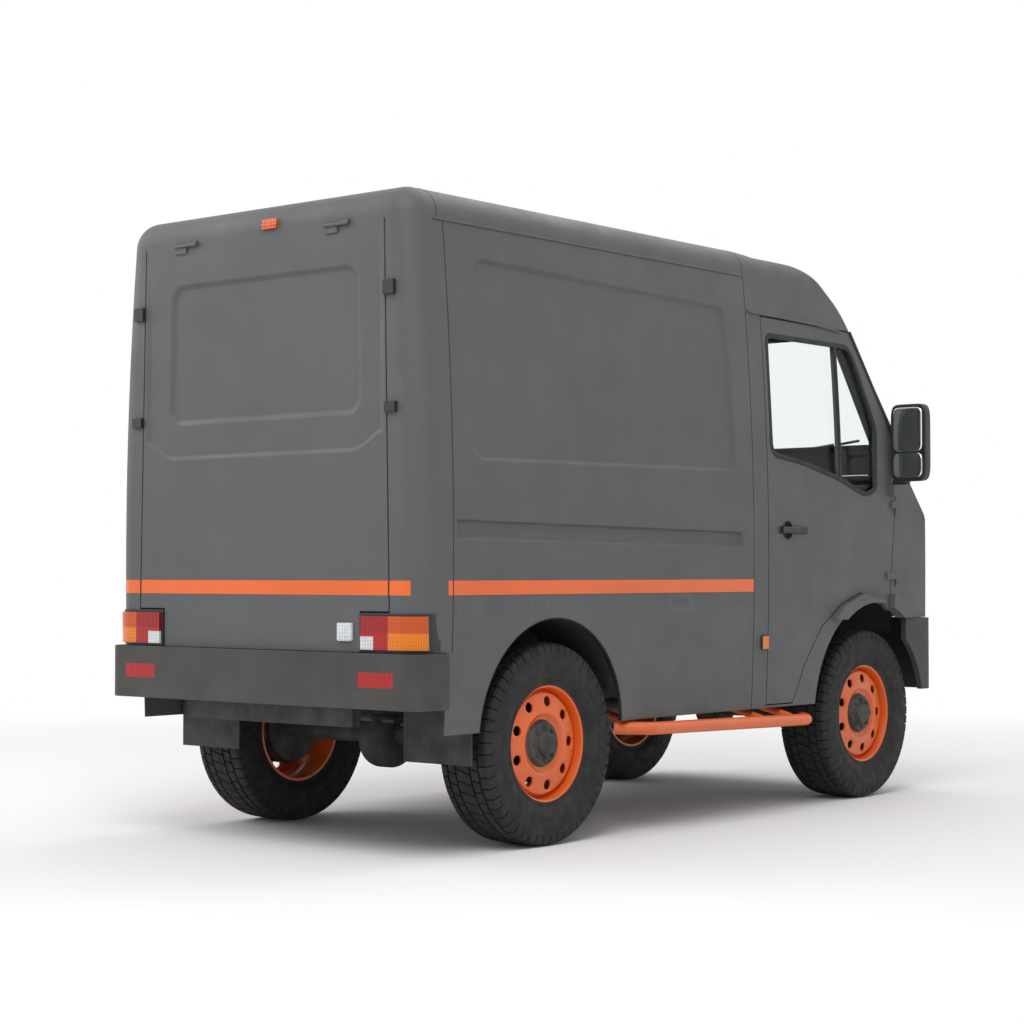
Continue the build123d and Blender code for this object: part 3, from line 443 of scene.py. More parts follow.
def glassMaterial():
    # clear faintly green pane with uneven dust
    material, tree, shader = nodeMaterial("windowGlass", (0.93, 0.96, 0.95), 0.02)
    shader.inputs["Transmission Weight"].default_value = 1.0
    shader.inputs["IOR"].default_value = 1.1
    tree.links.new(noiseOf(tree, objectPlace(tree), 5, 4, first=0.01, last=0.06), shader.inputs["Roughness"])
    return material


def mirrorMaterial():
    material, tree, shader = nodeMaterial("mirrorGlass", (0.86, 0.88, 0.89), 0.04, 1.0)
    tree.links.new(noiseOf(tree, objectPlace(tree), 12, 4, first=0.03, last=0.08), shader.inputs["Roughness"])
    return material


finishes = {
    "body_paint": bodyPaintMaterial(),
    "bumper_plastic": variedFinish("bumperPlastic", (0.046, 0.045, 0.043), 0.62, grain=900,
                                   strength=0.35, dust=0.25),
    "orange_paint": variedFinish("orangePaint", (0.80, 0.125, 0.006), 0.36, spread=0.06, grain=60,
                                 strength=0.08,
                                 dust=0.22, **{"Coat Weight": 0.35, "Coat Roughness": 0.2}),
    "chassis_paint": variedFinish("chassisPaint", (0.018, 0.018, 0.019), 0.6, dust=0.5),
    "axle_iron": variedFinish("axleIron", (0.045, 0.043, 0.041), 0.75, grain=180, grainDepth=0.0012,
                              strength=0.5, dust=0.5),
    "spring_steel": variedFinish("springSteel", (0.07, 0.065, 0.06), 0.6, metallic=0.6, dust=0.5),
    "tyre_rubber": tyreMaterial(),
    "flap_rubber": variedFinish("flapRubber", (0.030, 0.030, 0.031), 0.7, grain=600, dust=0.4),
    "black_plastic": variedFinish("blackPlastic", (0.016, 0.016, 0.017), 0.45, grain=1100, strength=0.2),
    "amber_lens": lensMaterial("amberLens", (0.62, 0.085, 0.003), (0.86, 0.22, 0.004)),
    "red_lens": lensMaterial("redLens", (0.34, 0.002, 0.002), (0.46, 0.003, 0.003)),
    "clear_lens": lensMaterial("clearLens", (0.78, 0.80, 0.82)),
    "window_glass": glassMaterial(),
    "interior_plastic": variedFinish("interiorPlastic", (0.055, 0.056, 0.060), 0.68, grain=1200,
                                     strength=0.4),
    "floor_paint": variedFinish("floorPaint", (0.10, 0.10, 0.105), 0.6, spread=0.2, grain=70,
                                grainDepth=0.0008),
    "seat_fabric": fabricMaterial(),
    "aluminium": variedFinish("castAluminium", (0.42, 0.42, 0.42), 0.5, metallic=0.9, grain=300,
                              strength=0.4, dust=0.3),
    "exhaust_steel": variedFinish("exhaustSteel", (0.20, 0.17, 0.14), 0.55, metallic=0.8, spread=0.3,
                                  dust=0.4),
}
sealRubber = variedFinish("sealRubber", (0.010, 0.010, 0.011), 0.62, grain=700)
# near black: painted shade for the grooves at the panel seams and beside the rear posts
seamShade = variedFinish("seamShade", (0.020, 0.021, 0.022), 0.75, grain=500)
linerBlack = variedFinish("linerBlack", (0.012, 0.012, 0.013), 0.8, grain=120, grainDepth=0.001, dust=0.4)
mirrorFace = mirrorMaterial()
satinSteel = variedFinish("satinSteel", (0.45, 0.45, 0.46), 0.35, metallic=1.0, grain=400, strength=0.1)

for row in frame["record"]["subparts"]:
    finish = linerBlack if row["node"] == "rear_wheel_boxes" else finishes[row["material_slot"]]
    node = nodes[row["node"]]
    if not node.material_slots:
        node.data.materials.append(finish)
    for materialSlot in node.material_slots:
        materialSlot.material = finish
print("materials on", len(nodes), "nodes")


sidePanel = {
    "arch": (0.980, 0.405), "archRadius": 0.400, "postFoot": 0.028, "postFootTop": 0.698, "join": 0.850,
    "pressing": ((-0.160, 1.360), (1.422, 1.342), (1.392, 2.040), (-0.125, 2.010)), "corner": 0.055,
    "pressDepth": 0.009, "bevel": 0.016, "channel": ((-0.200, 1.062, 1.125), (1.520, 1.076, 1.143)),
    "channelDepth": 0.012, "channelBevel": 0.012, "channelEnd": 0.02, "fineStep": 0.0045,
    "channelStep": 0.0035,
    "coarseStep": 0.045, "lipHalf": (0.004, 0.007), "lipSunk": 0.006, "lipEnd": 0.045,
}


def sideInset(y, z):
    # depth of the pressed panel and of the belt channel below the flank
    s = sidePanel
    panel = s["pressDepth"] * easeStep(-roundedQuad(y, z, s["pressing"], s["corner"]) / s["bevel"])
    (frontY, frontLow, frontHigh), (rearY, rearLow, rearHigh) = s["channel"]
    along = (y - frontY) / (rearY - frontY)
    low = frontLow + (rearLow - frontLow) * along
    high = frontHigh + (rearHigh - frontHigh) * along
    within = np.minimum((z - low) / s["channelBevel"], (high - z) / (s["channelBevel"] * 0.6))
    ends = np.minimum((y - frontY) / s["channelEnd"], (rearY - y) / s["channelEnd"])
    return panel + s["channelDepth"] * easeStep(within) * easeStep(ends)


def flankShell(y, z, inset, wall):
    # a grid of the right flank sunk by inset, with a wall behind it
    x = -sideX(z) + inset
    outer = np.stack([x, y, z], -1)
    return shellOf(outer, outer + (wall, 0, 0))


def makeSidePanels():
    # the flank above the wheels is one grid; below, each column runs from the arch circle or the sill
    s = sidePanel
    arch, radius = s["arch"], s["archRadius"]
    fine, coarse = s["fineStep"], s["coarseStep"]
    reach = math.sqrt(radius**2 - (body["sill"] - arch[1]) ** 2)
    archY = arch[0] + reach * np.cos(np.linspace(math.pi, 0, 41))
    y = samples(body["seam"], body["postSeam"], coarse, (-0.195, -0.060, fine), (1.330, 1.440, fine),
                (1.495, 1.525, fine), (-0.210, -0.190, fine))
    y = np.sort(np.concatenate([y[(y < archY[0]) | (y > archY[-1])], archY, y[(y > 1.33) & (y < archY[-1])]]))
    y = y[np.concatenate([[True], np.diff(y) > 0.0008])]
    z = samples(s["join"], body["gutter"], coarse, (1.055, 1.150, s["channelStep"]), (1.335, 1.425, fine),
                (1.960, 2.050, fine))
    zGrid, yGrid = np.meshgrid(z, y, indexing="ij")
    upper = flankShell(yGrid, zGrid, sideInset(yGrid, zGrid), body["skin"])
    gap = np.clip(radius**2 - (y - arch[0]) ** 2, 0, None)
    lowest = np.maximum(body["sill"], arch[1] + np.sqrt(gap))
    share = np.linspace(0, 1, 12)[:, None]
    zLow = lowest[None] + share * (s["join"] - lowest[None])
    lower = flankShell(np.broadcast_to(y, zLow.shape), zLow, 0 * zLow, body["skin"])
    footY, footZ = np.meshgrid(np.linspace(body["postSeam"], body["postSeam"] + s["postFoot"], 3),
                               np.linspace(body["sill"], s["postFootTop"], 6))
    foot = flankShell(footY, footZ, 0 * footZ, body["skin"])
    turn = np.linspace(math.pi - s["lipEnd"], s["lipEnd"], 60)
    lipY = arch[0] + radius * np.cos(turn)
    lipZ = arch[1] + radius * np.sin(turn)
    lipPath = np.stack([-sideX(lipZ) + s["lipSunk"], lipY, lipZ], -1)
    lip = swept(lipPath, (-1, 0, 0), ovalProfile(*s["lipHalf"], 10), False)
    addPiece("sidePanels", bothSides(joined(upper, lower, foot)), "truck", "body_paint",
             ["side_panels"])
    addPiece("rearArchLips", bothSides(lip), "truck", "flap_rubber", material=sealRubber)
    print("side panels:", len(y), "by", len(z), "grid")


makeSidePanels()


tailgate = {
    "top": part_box("tailgate_skin")[1].z, "bottom": 0.698, "shoulder": 0.836, "halfTop": 0.597,
    "halfBottom": 0.622,
    "halfFoot": 0.490, "pressing": ((-0.488, 1.498), (0.480, 1.498), (0.462, 2.008), (-0.482, 2.008)),
    "corner": 0.065, "pressDepth": 0.010, "bevel": 0.018, "swageFlat": 1.372, "swageRise": 0.065,
    "swageHalf": 0.45, "swageReach": 0.160, "swageDepth": 0.007, "swageBevel": 0.014, "fadeHeight": 0.45,
    "fieldHalf": 0.600, "fieldEdge": 0.025, "fineStep": 0.0045, "sealSunk": 0.006,
    "sealHalf": (0.0028, 0.005),
    "hinges": (-0.355, 0.405), "hingeZ": 2.147, "hingeProud": 0.008, "hingeHalf": 0.0295,
    "hingeRadius": 0.006,
    "leafLow": 2.120, "leafHigh": 2.146, "leafHalf": 0.029, "leafProud": 0.006, "leafWall": 0.0065,
}


def tailgateInset(x, z):
    # the pressed window shape, and the field above the swage, which fades out towards the top
    t = tailgate
    panel = t["pressDepth"] * easeStep(-roundedQuad(x, z, t["pressing"], t["corner"]) / t["bevel"])
    swage = t["swageFlat"] + t["swageRise"] * easeStep((np.abs(x) - t["swageHalf"]) / t["swageReach"])
    fade = easeStep((t["top"] - z) / t["fadeHeight"])
    field = t["swageDepth"] * easeStep((z - swage) / t["swageBevel"]) * fade
    sides = easeStep((t["fieldHalf"] - np.abs(x)) / t["fieldEdge"])
    return panel + field * sides


def rearShell(x, z, inset, wall):
    # a grid of the rear face sunk by inset, with a wall before it
    outer = np.stack([x, body["rearFace"] - inset, z], -1)
    return shellOf(outer, outer - (0, wall, 0))


def makeTailgate():
    # each row of the grid spans the gate, whose half width shrinks evenly from shoulder to top
    t = tailgate
    fine = t["fineStep"]
    u = samples(-1, 1, 0.06, (-0.99, -0.60, 0.0075), (0.60, 0.99, 0.0075))
    z = samples(t["shoulder"], t["top"], 0.045, (1.362, 1.575, fine), (1.935, 2.015, fine))
    narrowing = t["halfTop"] - t["halfBottom"]
    half = t["halfBottom"] + narrowing * (z - t["shoulder"]) / (t["top"] - t["shoulder"])
    x = u[None] * half[:, None]
    zGrid = np.broadcast_to(z[:, None], x.shape)
    upper = rearShell(x, zGrid, tailgateInset(x, zGrid), body["skin"])
    footX, footZ = np.meshgrid(np.linspace(-t["halfFoot"], t["halfFoot"], 20),
                               np.linspace(t["bottom"], t["shoulder"], 6))
    foot = rearShell(footX, footZ, 0 * footX, body["skin"])
    addPiece("tailgatePanel", joined(upper, foot), "tailgate", "body_paint",
             ["tailgate_skin"])
    corners = [(-t["halfTop"], t["top"]), (-t["halfBottom"], t["shoulder"]), (-t["halfFoot"], t["shoulder"]),
               (-t["halfFoot"], t["bottom"]), (t["halfFoot"], t["bottom"]), (t["halfFoot"], t["shoulder"]),
               (t["halfBottom"], t["shoulder"]), (t["halfTop"], t["top"])]
    path = roundedPath([(x, body["rearFace"] - t["sealSunk"], z) for x, z in corners], 0.004, steps=3)
    seal = swept(path, (0, 1, 0), ovalProfile(*t["sealHalf"], 8))
    addPiece("tailgateSeal", seal, "tailgate", "flap_rubber", material=sealRubber)
    leaves = []
    half, radius = t["hingeHalf"], t["hingeRadius"]
    barrel = [(-half, 0), (-half, radius - 0.0015), (0.002 - half, radius), (half - 0.002, radius),
              (half, radius - 0.0015), (half, 0)]
    for centre in t["hinges"]:
        axis = (centre, body["rearFace"] + t["hingeProud"], t["hingeZ"])
        leaves.append(turned(barrel, 16, axis, close=False))
        leafX, leafZ = np.meshgrid(np.linspace(centre - t["leafHalf"], centre + t["leafHalf"], 3),
                                   np.linspace(t["leafLow"], t["leafHigh"], 4))
        leaf = np.stack([leafX, np.full_like(leafX, body["rearFace"] + t["leafProud"]), leafZ], -1)
        leaves.append(shellOf(leaf, leaf - (0, t["leafWall"], 0)))
    addPiece("tailgateHingeLeaves", joined(*leaves), "tailgate", "body_paint")
    print("tailgate:", len(u), "by", len(z), "grid")


makeTailgate()


stripe = {
    "low": 0.889, "high": 0.938, "proud": 0.0007, "sunk": 0.0008, "rearEnds": (-0.713, 0.742),
    "gateHalf": 0.6185,
    "postStart": 0.6265, "sideStop": 1.529, "postFlank": (1.535, 1.557),
}


def stripeStrip(outward, *columns):
    # a thin strip between the stripe's two heights; each column is (x, y) at both heights
    x, y = np.asarray(columns, float)
    z = np.array([stripe["low"], stripe["high"]])[:, None]
    grid = np.stack(np.broadcast_arrays(x[None], y[None], z), -1)
    outward = np.broadcast_to(np.asarray(outward, float), grid.shape)
    return shellOf(grid + outward * stripe["proud"], grid - outward * stripe["sunk"])


def makeStripes():
    # strips on the flat of the sides and the gate, and round each rear corner along its quarter circle
    middle = (stripe["low"] + stripe["high"]) / 2
    flankX = float(sideX(middle))
    rear = body["rearFace"]
    along = np.linspace(body["seam"] + 0.004, stripe["sideStop"], 8)
    sides = [stripeStrip((side, 0, 0), np.full(8, side * flankX), along) for side in (-1, 1)]
    addPiece("sideStripes", joined(*sides), "truck", "orange_paint")
    gate = stripeStrip((0, 1, 0), np.linspace(-stripe["gateHalf"], stripe["gateHalf"], 12), np.full(12, rear))
    addPiece("tailgateStripe", gate, "tailgate", "orange_paint")
    posts = []
    centreX = flankX - body["rearCorner"]
    for side, end in zip((-1, 1), stripe["rearEnds"]):
        turn = math.asin((abs(end) - centreX) / body["rearCorner"])
        angle = np.linspace(0, turn, 12)
        x = np.concatenate([[stripe["postStart"]], centreX + body["rearCorner"] * np.sin(angle)]) * side
        y = np.concatenate([[rear], rear - body["rearCorner"] * (1 - np.cos(angle))])
        outward = np.stack([np.concatenate([[0], np.sin(angle)]) * side, np.concatenate([[1], np.cos(angle)]),
                            np.zeros(13)], -1)[None]
        posts.append(stripeStrip(outward, x, y))
        flank = np.linspace(*stripe["postFlank"], 3)
        posts.append(stripeStrip((side, 0, 0), np.full(3, side * flankX), flank))
    addPiece("postStripes", joined(*posts), "truck", "orange_paint")
    print("stripes")


makeStripes()


seams = {
    "half": 0.0024, "proud": 0.0008, "sunk": 0.0005, "postTop": 0.700, "gutterHalf": 0.0035,
    "gutterProud": 0.0045,
    "drip": ((-0.290, 2.008), (-0.560, 2.004), (-0.800, 1.998), (-0.985, 1.984)), "dripHalf": (0.005, 0.008),
}


def makeSeams():
    # a flat oval bead carried round the body, down the posts, and along the gutters; the seam and post beads
    # mark real panel joints, and their near-black colour is painted shade for the grooves there
    parts = []
    bead = ovalProfile(seams["half"], seams["proud"] + seams["sunk"], 8)
    rearSeam = body["postSeam"] + sidePanel["postFoot"]
    for y, lowest in ((body["seam"], body["sill"]), (rearSeam, body["gutter"])):
        path, normal = sectionPath(y, lowest, -seams["sunk"])
        parts.append(swept(path, normal, bead, False))
    z = np.linspace(seams["postTop"], body["gutter"], 20)
    post = np.stack([-sideX(z) + 0.0003, np.full(20, body["postSeam"]), z], -1)
    parts.append(bothSides(swept(post, (-1, 0, 0), bead, False)))
    addPiece("bodySeamShadeBeads", joined(*parts), "truck", "black_plastic", material=seamShade)
    y = np.linspace(body["seam"] + 0.005, body["postSeam"] + 0.05, 12)
    gutter = np.stack([np.full(12, -sideX(body["gutter"])), y, np.full(12, body["gutter"])], -1)
    rail = swept(gutter, (-1, 0, 0), ovalProfile(seams["gutterHalf"], seams["gutterProud"], 10, 0.6), False)
    drip = np.array(seams["drip"])
    drip = np.stack([-sideX(drip[:, 1]), drip[:, 0], drip[:, 1]], -1)
    doorRail = swept(drip, (-1, 0, 0), ovalProfile(*seams["dripHalf"], 10, 0.6), False)
    addPiece("gutterRails", bothSides(joined(rail, doorRail)), "truck", "body_paint")
    print("seams and gutters")


makeSeams()


window = {
    "opening": ((-0.414, 1.924), (-1.045, 1.924), (-1.100, 1.850), (-1.240, 1.590), (-1.228, 1.322),
                (-1.133, 1.296), (-0.917, 1.362), (-0.647, 1.415), (-0.439, 1.439), (-0.414, 1.470)),
    "corner": 0.035, "sealHalf": 0.011, "sealOut": 0.004, "divider": -0.940, "dividerHalf": 0.009,
    "quarterDepth": 0.012, "paneWall": 0.004,
}


def flankPath(corners, radius, proud, closed=True):
    # a rounded outline of (y, z) laid on the right flank
    flat = roundedPath([(y, z) for y, z in corners], radius, closed)
    return np.stack([-sideX(flat[:, 1]) - proud, flat[:, 0], flat[:, 1]], -1)


def makeWindows():
    # the seal follows the rounded opening; each column of the quarter pane runs between its two edges
    w = window
    sealPath = flankPath(w["opening"], w["corner"], -0.001)
    seal = swept(sealPath, (-1, 0, 0), ovalProfile(w["sealHalf"], w["sealOut"], 12, 0.7))
    z = np.linspace(1.350, 1.926, 12)
    bar = np.stack([-sideX(z) + 0.001, np.full(12, w["divider"]), z], -1)
    divider = swept(bar, (-1, 0, 0), ovalProfile(w["dividerHalf"], 0.004, 10, 0.6), False)
    y = np.linspace(w["divider"] - 0.004, -1.236, 24)
    lowest = np.interp(y, [-1.228, -1.133, -0.917], [1.322, 1.296, 1.362])
    highest = np.interp(y, [-1.240, -1.100, -1.045], [1.590, 1.850, 1.924])
    zGrid = lowest[None] + np.linspace(0, 1, 12)[:, None] * (highest - lowest)[None]
    yGrid = np.broadcast_to(y, zGrid.shape)
    pane = np.stack([-sideX(zGrid) + w["quarterDepth"], yGrid, zGrid], -1)
    quarter = shellOf(pane, pane + (w["paneWall"], 0, 0))
    for sideName, side in rightAndLeft:
        doorBody = "door_" + sideName
        addPiece("windowSeal_" + sideName, onSide(joined(seal, divider), side), doorBody, "flap_rubber",
                 material=sealRubber)
        addPiece("quarterGlass_" + sideName, onSide(quarter, side), doorBody, "window_glass")
    print("window seals and quarter panes")


makeWindows()


tyre = {
    "halfWidth": 0.114, "radius": 0.360, "groove": 0.0085, "notch": 0.006, "pitches": 54, "skew": 0.060,
    # half profile from the middle of the tread out to the bead: place out, radius, kind of tread row
    "profile": (
        (0.000, 0.3600, "a"), (0.014, 0.3600, "a"), (0.0285, 0.3598, "a"), (0.0295, 0.3598, "g"),
        (0.0365, 0.3596, "g"), (0.0375, 0.3595, "b"), (0.050, 0.3590, "b"), (0.0655, 0.3584, "b"),
        (0.0665, 0.3582, "g"), (0.0735, 0.3577, "g"), (0.0745, 0.3576, "a"), (0.088, 0.3566, "a"),
        (0.099, 0.3540, "a"), (0.1055, 0.3480, "s"), (0.1085, 0.3380, "s"), (0.1100, 0.3280, "s"),
        (0.1108, 0.3200, "n"), (0.1122, 0.3185, "n"), (0.1130, 0.305, "n"), (0.1140, 0.290, "n"),
        (0.1136, 0.2755, "n"), (0.1120, 0.2745, "n"), (0.1128, 0.262, "n"), (0.1090, 0.245, "n"),
        (0.1030, 0.232, "n"), (0.0985, 0.2265, "n"), (0.0955, 0.2215, "n"), (0.0955, 0.206, "n"),
        (0.088, 0.206, "n"), (0.088, 0.222, "n"), (0.100, 0.250, "n"), (0.100, 0.320, "n"),
        (0.070, 0.343, "n"), (0.000, 0.345, "n")),
}
wheel = {
    "trackHalf": 0.620, "holeCount": 9, "holeRadius": 0.0185, "sectorInner": 0.122,
    "sectorOuter": 0.178, "wall": 0.006, "nutCount": 8, "nutRing": 0.060,
    "outerRows": (0.195, 0.188, 0.185, 0.182),
    "innerRows": (0.117, 0.112, 0.109, 0.106, 0.102, 0.098, 0.090, 0.066),
    # nut: place out from the truck's middle, radius
    "nut": ((0.696, 0.0092), (0.7045, 0.0092), (0.7065, 0.0075), (0.7065, 0.0045), (0.710, 0.0042),
            (0.7105, 0.0)),
    # outboard face of the disc: radius, place out from the truck's middle
    "dish": ((0.195, 0.664), (0.188, 0.670), (0.182, 0.684), (0.178, 0.689), (0.150, 0.693), (0.122, 0.697),
             (0.112, 0.699), (0.106, 0.697), (0.098, 0.688), (0.090, 0.684), (0.066, 0.683)),
    "barrel": ((-0.095, 0.196), (-0.095, 0.2195), (-0.091, 0.2200), (-0.087, 0.2055), (-0.050, 0.2050),
               (-0.040, 0.196), (0.000, 0.196), (0.014, 0.2050), (0.086, 0.2055), (0.090, 0.2195),
               (0.0945, 0.2200), (0.0950, 0.216), (0.0925, 0.206), (0.088, 0.199), (0.076, 0.196),
               (0.018, 0.194), (0.000, 0.188), (-0.040, 0.188), (-0.054, 0.194)),
    "hub": ((-0.040, 0.030), (-0.040, 0.134), (-0.034, 0.140), (0.024, 0.140), (0.030, 0.134), (0.030, 0.100),
            (0.058, 0.096), (0.064, 0.084), (0.073, 0.079), (0.079, 0.076), (0.082, 0.070), (0.080, 0.050),
            (0.084, 0.045), (0.092, 0.043), (0.095, 0.038), (0.095, 0.012), (0.093, 0.0)),
}


def wheelCentre(end, side):
    low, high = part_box(f"{end}_tyre_" + ("right" if side < 0 else "left"))
    return side * wheel["trackHalf"], (low.y + high.y) / 2, tyre["radius"]


def tyrePart(side, y):
    # the closed profile turned about the axle; grooves sink the places whose column falls in a gap
    half = tyre["profile"]
    out = np.array([row[0] for row in half])
    radius = np.array([row[1] for row in half])
    kind = np.array([row[2] for row in half])
    out = np.concatenate([out, -out[-2:0:-1]])
    radius = np.concatenate([radius, radius[-2:0:-1]])
    kind = np.concatenate([kind, kind[-2:0:-1]])
    fractions = np.array([0.0, 0.03, 0.11, 0.14, 0.32, 0.5, 0.53, 0.61, 0.64, 0.82])
    count = tyre["pitches"]
    column = (np.arange(count)[:, None] + fractions[None]).ravel() * 2 * math.pi / count
    gapA = np.tile((fractions > 0.02) & (fractions < 0.12), count)
    gapB = np.tile((fractions > 0.52) & (fractions < 0.62), count)
    shoulders = np.isin(kind, ("a", "s"))[:, None] & gapA[None]
    middle = (kind == "b")[:, None] & gapB[None]
    sunk = (kind == "g")[:, None] | shoulders | middle
    tread = np.isin(kind, ("a", "b", "g"))[:, None]
    down = np.where(sunk & tread, tyre["groove"], 0.0)
    inwards = np.where(sunk & ~tread, tyre["notch"], 0.0)
    r = radius[:, None] - down
    x = out[:, None] - np.sign(out)[:, None] * inwards
    angle = column[None] + tyre["skew"] * np.sin(out / tyre["halfWidth"] * math.pi * 0.5)[:, None]
    grid = np.stack([side * wheel["trackHalf"] + x, y + r * np.cos(angle),
                     tyre["radius"] + r * np.sin(angle)], -1)
    return sheetOf(grid, closeRows=True, closeColumns=True)


def discPart(side, y):
    # the pressed disc: rings of the dish curve, and a band of sectors, each with a round hand hole
    w = wheel
    dish = np.array(w["dish"])
    perSide, perRadius, sectors = 12, 6, w["holeCount"]
    columns = perSide * sectors

    def outAt(radius):
        return np.interp(radius, dish[::-1, 0], dish[::-1, 1])

    def ring(radii):
        angle = np.arange(columns)[None] * 2 * math.pi / columns
        r = np.asarray(radii)[:, None]
        out = np.broadcast_to(outAt(r), (len(radii), columns))
        return np.stack([out, r * np.cos(angle), r * np.sin(angle)], -1)

    def doubled(front, edgeRow):
        # the front sheet, the back sheet a wall behind it, and a wall along one edge row
        back = front - (w["wall"], 0, 0)
        wall = np.stack([front[edgeRow], back[edgeRow]])
        return joined(*(sheetOf(sheet, closeColumns=True) for sheet in (front, back, wall)))

    def edgeRun(turns, radii, count):
        # evenly spaced (turn, radius) pairs along one side of a sector
        return np.stack([np.linspace(*turns, count, endpoint=False),
                         np.linspace(*radii, count, endpoint=False)], -1)

    inner, outer = w["sectorInner"], w["sectorOuter"]
    outerRing = doubled(ring([*w["outerRows"], outer]), 0)
    innerRing = doubled(ring([inner, *w["innerRows"]]), -1)
    half = math.pi / sectors
    middleR = (inner + outer) / 2
    edge = np.concatenate([
        edgeRun((-half, half), (outer, outer), perSide), edgeRun((half, half), (outer, inner), perRadius),
        edgeRun((half, -half), (inner, inner), perSide), edgeRun((-half, -half), (inner, outer), perRadius)])
    edgeFlat = edge[:, 1:] * np.stack([np.cos(edge[:, 0]), np.sin(edge[:, 0])], -1)
    away = edgeFlat - (middleR, 0)
    holeFlat = (middleR, 0) + away / np.linalg.norm(away, axis=1)[:, None] * w["holeRadius"]
    share = np.array([0, 0.35, 0.7, 0.92, 1.0])[:, None, None]
    flat = edgeFlat[None] + share * (holeFlat - edgeFlat)[None]
    radius = np.linalg.norm(flat, axis=2)
    lip = 0.0025 * (share[..., 0] >= 0.9)
    front = np.concatenate([(outAt(radius) - lip)[..., None], flat], -1)
    sectorParts = []
    for number in range(sectors):
        turn = half * (2 * number + 1)
        c, s = math.cos(turn), math.sin(turn)
        out, a, b = np.moveaxis(front, -1, 0)
        sectorParts.append(doubled(np.stack([out, a * c - b * s, a * s + b * c], -1), -1))
    points, faces = joined(outerRing, innerRing, *sectorParts)
    return points * (side, 1, 1) + (0, y, tyre["radius"]), faces


def nutParts(side, y):
    # six-sided nuts with a domed end, in a ring
    w = wheel
    angle = np.arange(6) * math.pi / 3
    parts = []
    for number in range(w["nutCount"]):
        turn = 2 * math.pi * number / w["nutCount"]
        cy, cz = w["nutRing"] * math.cos(turn), w["nutRing"] * math.sin(turn)
        grid = np.stack([np.stack([np.full(6, out), cy + r * np.cos(angle), cz + r * np.sin(angle)], -1)
                         for out, r in w["nut"]])
        parts.append(sheetOf(grid, closeColumns=True))
    points, faces = joined(*parts)
    return points * (side, 1, 1) + (0, y, tyre["radius"]), faces


def makeWheels():
    for end in wheelEnds:
        for sideName, side in rightAndLeft:
            centre = wheelCentre(end, side)
            riding = f"{end}_wheel_{sideName}"
            addPiece(f"{end}Tyre_{sideName}", tyrePart(side, centre[1]), riding, "tyre_rubber",
                     [f"{end}_tyre_{sideName}"], 25)
            barrel = turned([(side * out, radius) for out, radius in wheel["barrel"]], 96, centre)
            addPiece(f"{end}Rim_{sideName}", joined(barrel, discPart(side, centre[1])), riding, "orange_paint",
                     [f"{end}_rim_{sideName}"])
            hub = turned([(side * out, radius) for out, radius in wheel["hub"]], 64, centre, close=False)
            addPiece(f"{end}Hub_{sideName}", joined(hub, nutParts(side, centre[1])), riding, "chassis_paint")


makeWheels()


lamps = {
    # reflector and number lamp: middle, half width, low edge, high edge
    "reflector": (0.590, 0.083, 0.583, 0.633), "frameHalf": (0.004, 0.0033),
    "plate": (-0.425, 0.034, 0.734, 0.796),
    "plateProud": 0.010, "lipZ": 0.6935, "lipHalf": (0.0032, 0.0035), "lipInset": 0.003, "bumperHalf": 0.776,
    "bumperCorner": 0.070, "bumperFront": 1.567,
    # side marker: middle, half length, low edge, high edge
    "marker": (-0.352, 0.022, 0.660, 0.711), "markerHalf": (0.0035, 0.008), "frameCorner": 0.008,
}


def rectangle(middle, half, low, high):
    # the four corners of an upright rectangle
    return [(middle - half, low), (middle + half, low), (middle + half, high), (middle - half, high)]


def frontedBox(xMiddle, xHalf, zLow, zHigh, back, front, corner=0.006):
    # a raised pad on the rear face: rounded outline, domed a little towards its middle
    outlinePoints = roundedPath(rectangle(xMiddle, xHalf, zLow, zHigh), corner)
    middle = np.array([xMiddle, (zLow + zHigh) / 2])
    rows = []
    for share, y in ((1.0, back), (1.0, front - 0.0025), (0.975, front - 0.0008), (0.92, front - 0.0003),
                     (0.5, front), (0.0, front)):
        flat = middle + (outlinePoints - middle) * share
        rows.append(np.stack([flat[:, 0], np.full(len(flat), y), flat[:, 1]], -1))
    return sheetOf(np.array([rows[0] * (0, 1, 0) + (middle[0], 0, middle[1]), *rows]), closeColumns=True)


def makeLamps():
    # oval beads round the reflectors and markers, and a lip that follows the bumper's rounded plan
    s = lamps
    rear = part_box("rear_bumper")[1].y
    frames = []
    middle, half, low, high = s["reflector"]
    for side in (-1, 1):
        corners = rectangle(side * middle, half, low, high)
        path = roundedPath([(x, rear - 0.0035, z) for x, z in corners], s["frameCorner"])
        frames.append(swept(path, (0, 1, 0), ovalProfile(*s["frameHalf"], 10, 0.6)))
    addPiece("reflectorFrames", joined(*frames), "truck", "black_plastic")
    middle, half, low, high = s["plate"]
    lens = frontedBox(middle, half, low, high, body["rearFace"] - 0.002, body["rearFace"] + s["plateProud"])
    addPiece("numberLampLens", lens, "tailgate", "clear_lens")
    b, r = s["bumperHalf"], s["bumperCorner"]
    turn = np.linspace(0, math.pi / 2, 14)
    leftX = b - r + r * np.cos(turn)
    leftY = rear - r + r * np.sin(turn)
    x = np.concatenate([[b], leftX, -leftX[::-1], [-b]])
    y = np.concatenate([[s["bumperFront"]], leftY, leftY[::-1], [s["bumperFront"]]])
    path = np.stack([x * (1 - s["lipInset"] / b), y - s["lipInset"], np.full(len(x), s["lipZ"])], -1)
    addPiece("bumperLip", swept(path, (0, 0, 1), ovalProfile(*s["lipHalf"], 10), False),
             "truck", "bumper_plastic")
    path = flankPath(rectangle(*s["marker"]), s["frameCorner"], 0.001)
    marker = swept(path, (-1, 0, 0), ovalProfile(*s["markerHalf"], 10, 0.6))
    addPiece("sideMarkerFrames", bothSides(marker), "truck", "black_plastic")
    print("lamps and reflectors")


makeLamps()


